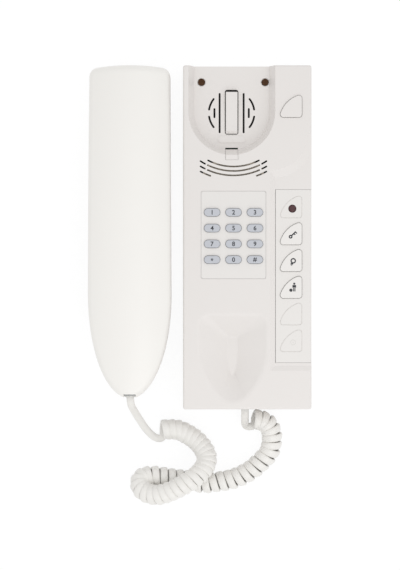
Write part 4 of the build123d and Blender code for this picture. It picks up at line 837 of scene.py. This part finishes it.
class INTERCOM_OT_stage(bpy.types.Operator):
    """Sets the pale floor, the soft lamps and the camera that looks straight down"""

    bl_idname = "intercom.stage"
    bl_label = "Stage"

    def execute(self, context):
        stage = context.scene.intercom_stage
        scene = context.scene

        sheet = bmesh.new()
        bmesh.ops.create_grid(sheet, x_segments=1, y_segments=1, size=FLOOR_REACH)
        floor = new_piece("floor", sheet, white_floor())

        world = bpy.data.worlds.new("soft room")
        world.use_nodes = True
        scene.world = world
        tree = world.node_tree
        even = tree.nodes["Background"]
        even.inputs["Color"].default_value = (1, 1, 1, 1)
        even.inputs["Strength"].default_value = stage.sky
        white = tree.nodes.new("ShaderNodeBackground")
        white.inputs["Color"].default_value = (1, 1, 1, 1)
        choice = tree.nodes.new("ShaderNodeMixShader")
        rays = tree.nodes.new("ShaderNodeLightPath")
        tree.links.new(rays.outputs["Is Camera Ray"], choice.inputs["Fac"])
        tree.links.new(even.outputs["Background"], choice.inputs[1])
        tree.links.new(white.outputs["Background"], choice.inputs[2])
        tree.links.new(choice.outputs["Shader"], tree.nodes["World Output"].inputs["Surface"])

        self.soft_lamp("key lamp", stage.key_light, *KEY_LAMP)
        self.soft_lamp("fill lamp", stage.fill_light, *FILL_LAMP)

        lens = bpy.data.cameras.new("photo camera")
        lens.lens = stage.lens
        lens.sensor_width = SENSOR_WIDTH
        lens.clip_end = CAMERA_REACH
        camera = bpy.data.objects.new("photo camera", lens)
        camera.location = (*CAMERA_PLACE, stage.camera_height)
        scene.collection.objects.link(camera)
        scene.camera = camera
        scene.view_settings.view_transform = "Standard"
        return {"FINISHED"}

    @staticmethod
    def soft_lamp(name, power, size, place):
        """A square lamp that faces the object."""
        lamp = bpy.data.lights.new(name, "AREA")
        lamp.shape = "SQUARE"
        lamp.size = size
        lamp.energy = power
        holder = bpy.data.objects.new(name, lamp)
        holder.location = place
        holder.rotation_euler = (Vector(LAMP_TARGET) - Vector(place)).to_track_quat("-Z", "Y").to_euler()
        bpy.context.scene.collection.objects.link(holder)


class INTERCOM_PT_sidebar(bpy.types.Panel):
    """Lists the intercom's pieces, sizes and colours"""

    bl_idname = "INTERCOM_PT_sidebar"
    bl_label = "Wall Intercom"
    bl_space_type = "VIEW_3D"
    bl_region_type = "UI"
    bl_category = "Intercom"

    def draw(self, context):
        for step in STEPS:
            self.layout.operator(step.bl_idname)
        scene = context.scene
        for group in (scene.intercom_sizes, scene.intercom_colours, scene.intercom_stage):
            box = self.layout.box()
            for name in group.__annotations__:
                box.prop(group, name)


STEPS = (
    INTERCOM_OT_stage,
    INTERCOM_OT_curly_cord,
    INTERCOM_OT_housing,
    INTERCOM_OT_handset,
    INTERCOM_OT_insides,
    INTERCOM_OT_key_digits,
    INTERCOM_OT_function_buttons,
)
CLASSES = (IntercomColours, IntercomSizes, IntercomStage, *STEPS, INTERCOM_PT_sidebar)


def register():
    for item in CLASSES:
        bpy.utils.register_class(item)
    bpy.types.Scene.intercom_colours = bpy.props.PointerProperty(type=IntercomColours)
    bpy.types.Scene.intercom_sizes = bpy.props.PointerProperty(type=IntercomSizes)
    bpy.types.Scene.intercom_stage = bpy.props.PointerProperty(type=IntercomStage)


def unregister():
    del bpy.types.Scene.intercom_stage
    del bpy.types.Scene.intercom_sizes
    del bpy.types.Scene.intercom_colours
    for item in reversed(CLASSES):
        bpy.utils.unregister_class(item)


def main():
    register()
    bpy.ops.intercom.stage()
    bpy.ops.intercom.curly_cord()
    bpy.ops.intercom.housing()
    bpy.ops.intercom.handset()
    bpy.ops.intercom.insides()
    bpy.ops.intercom.key_digits()
    bpy.ops.intercom.function_buttons()


if __name__ == "__main__":
    main()
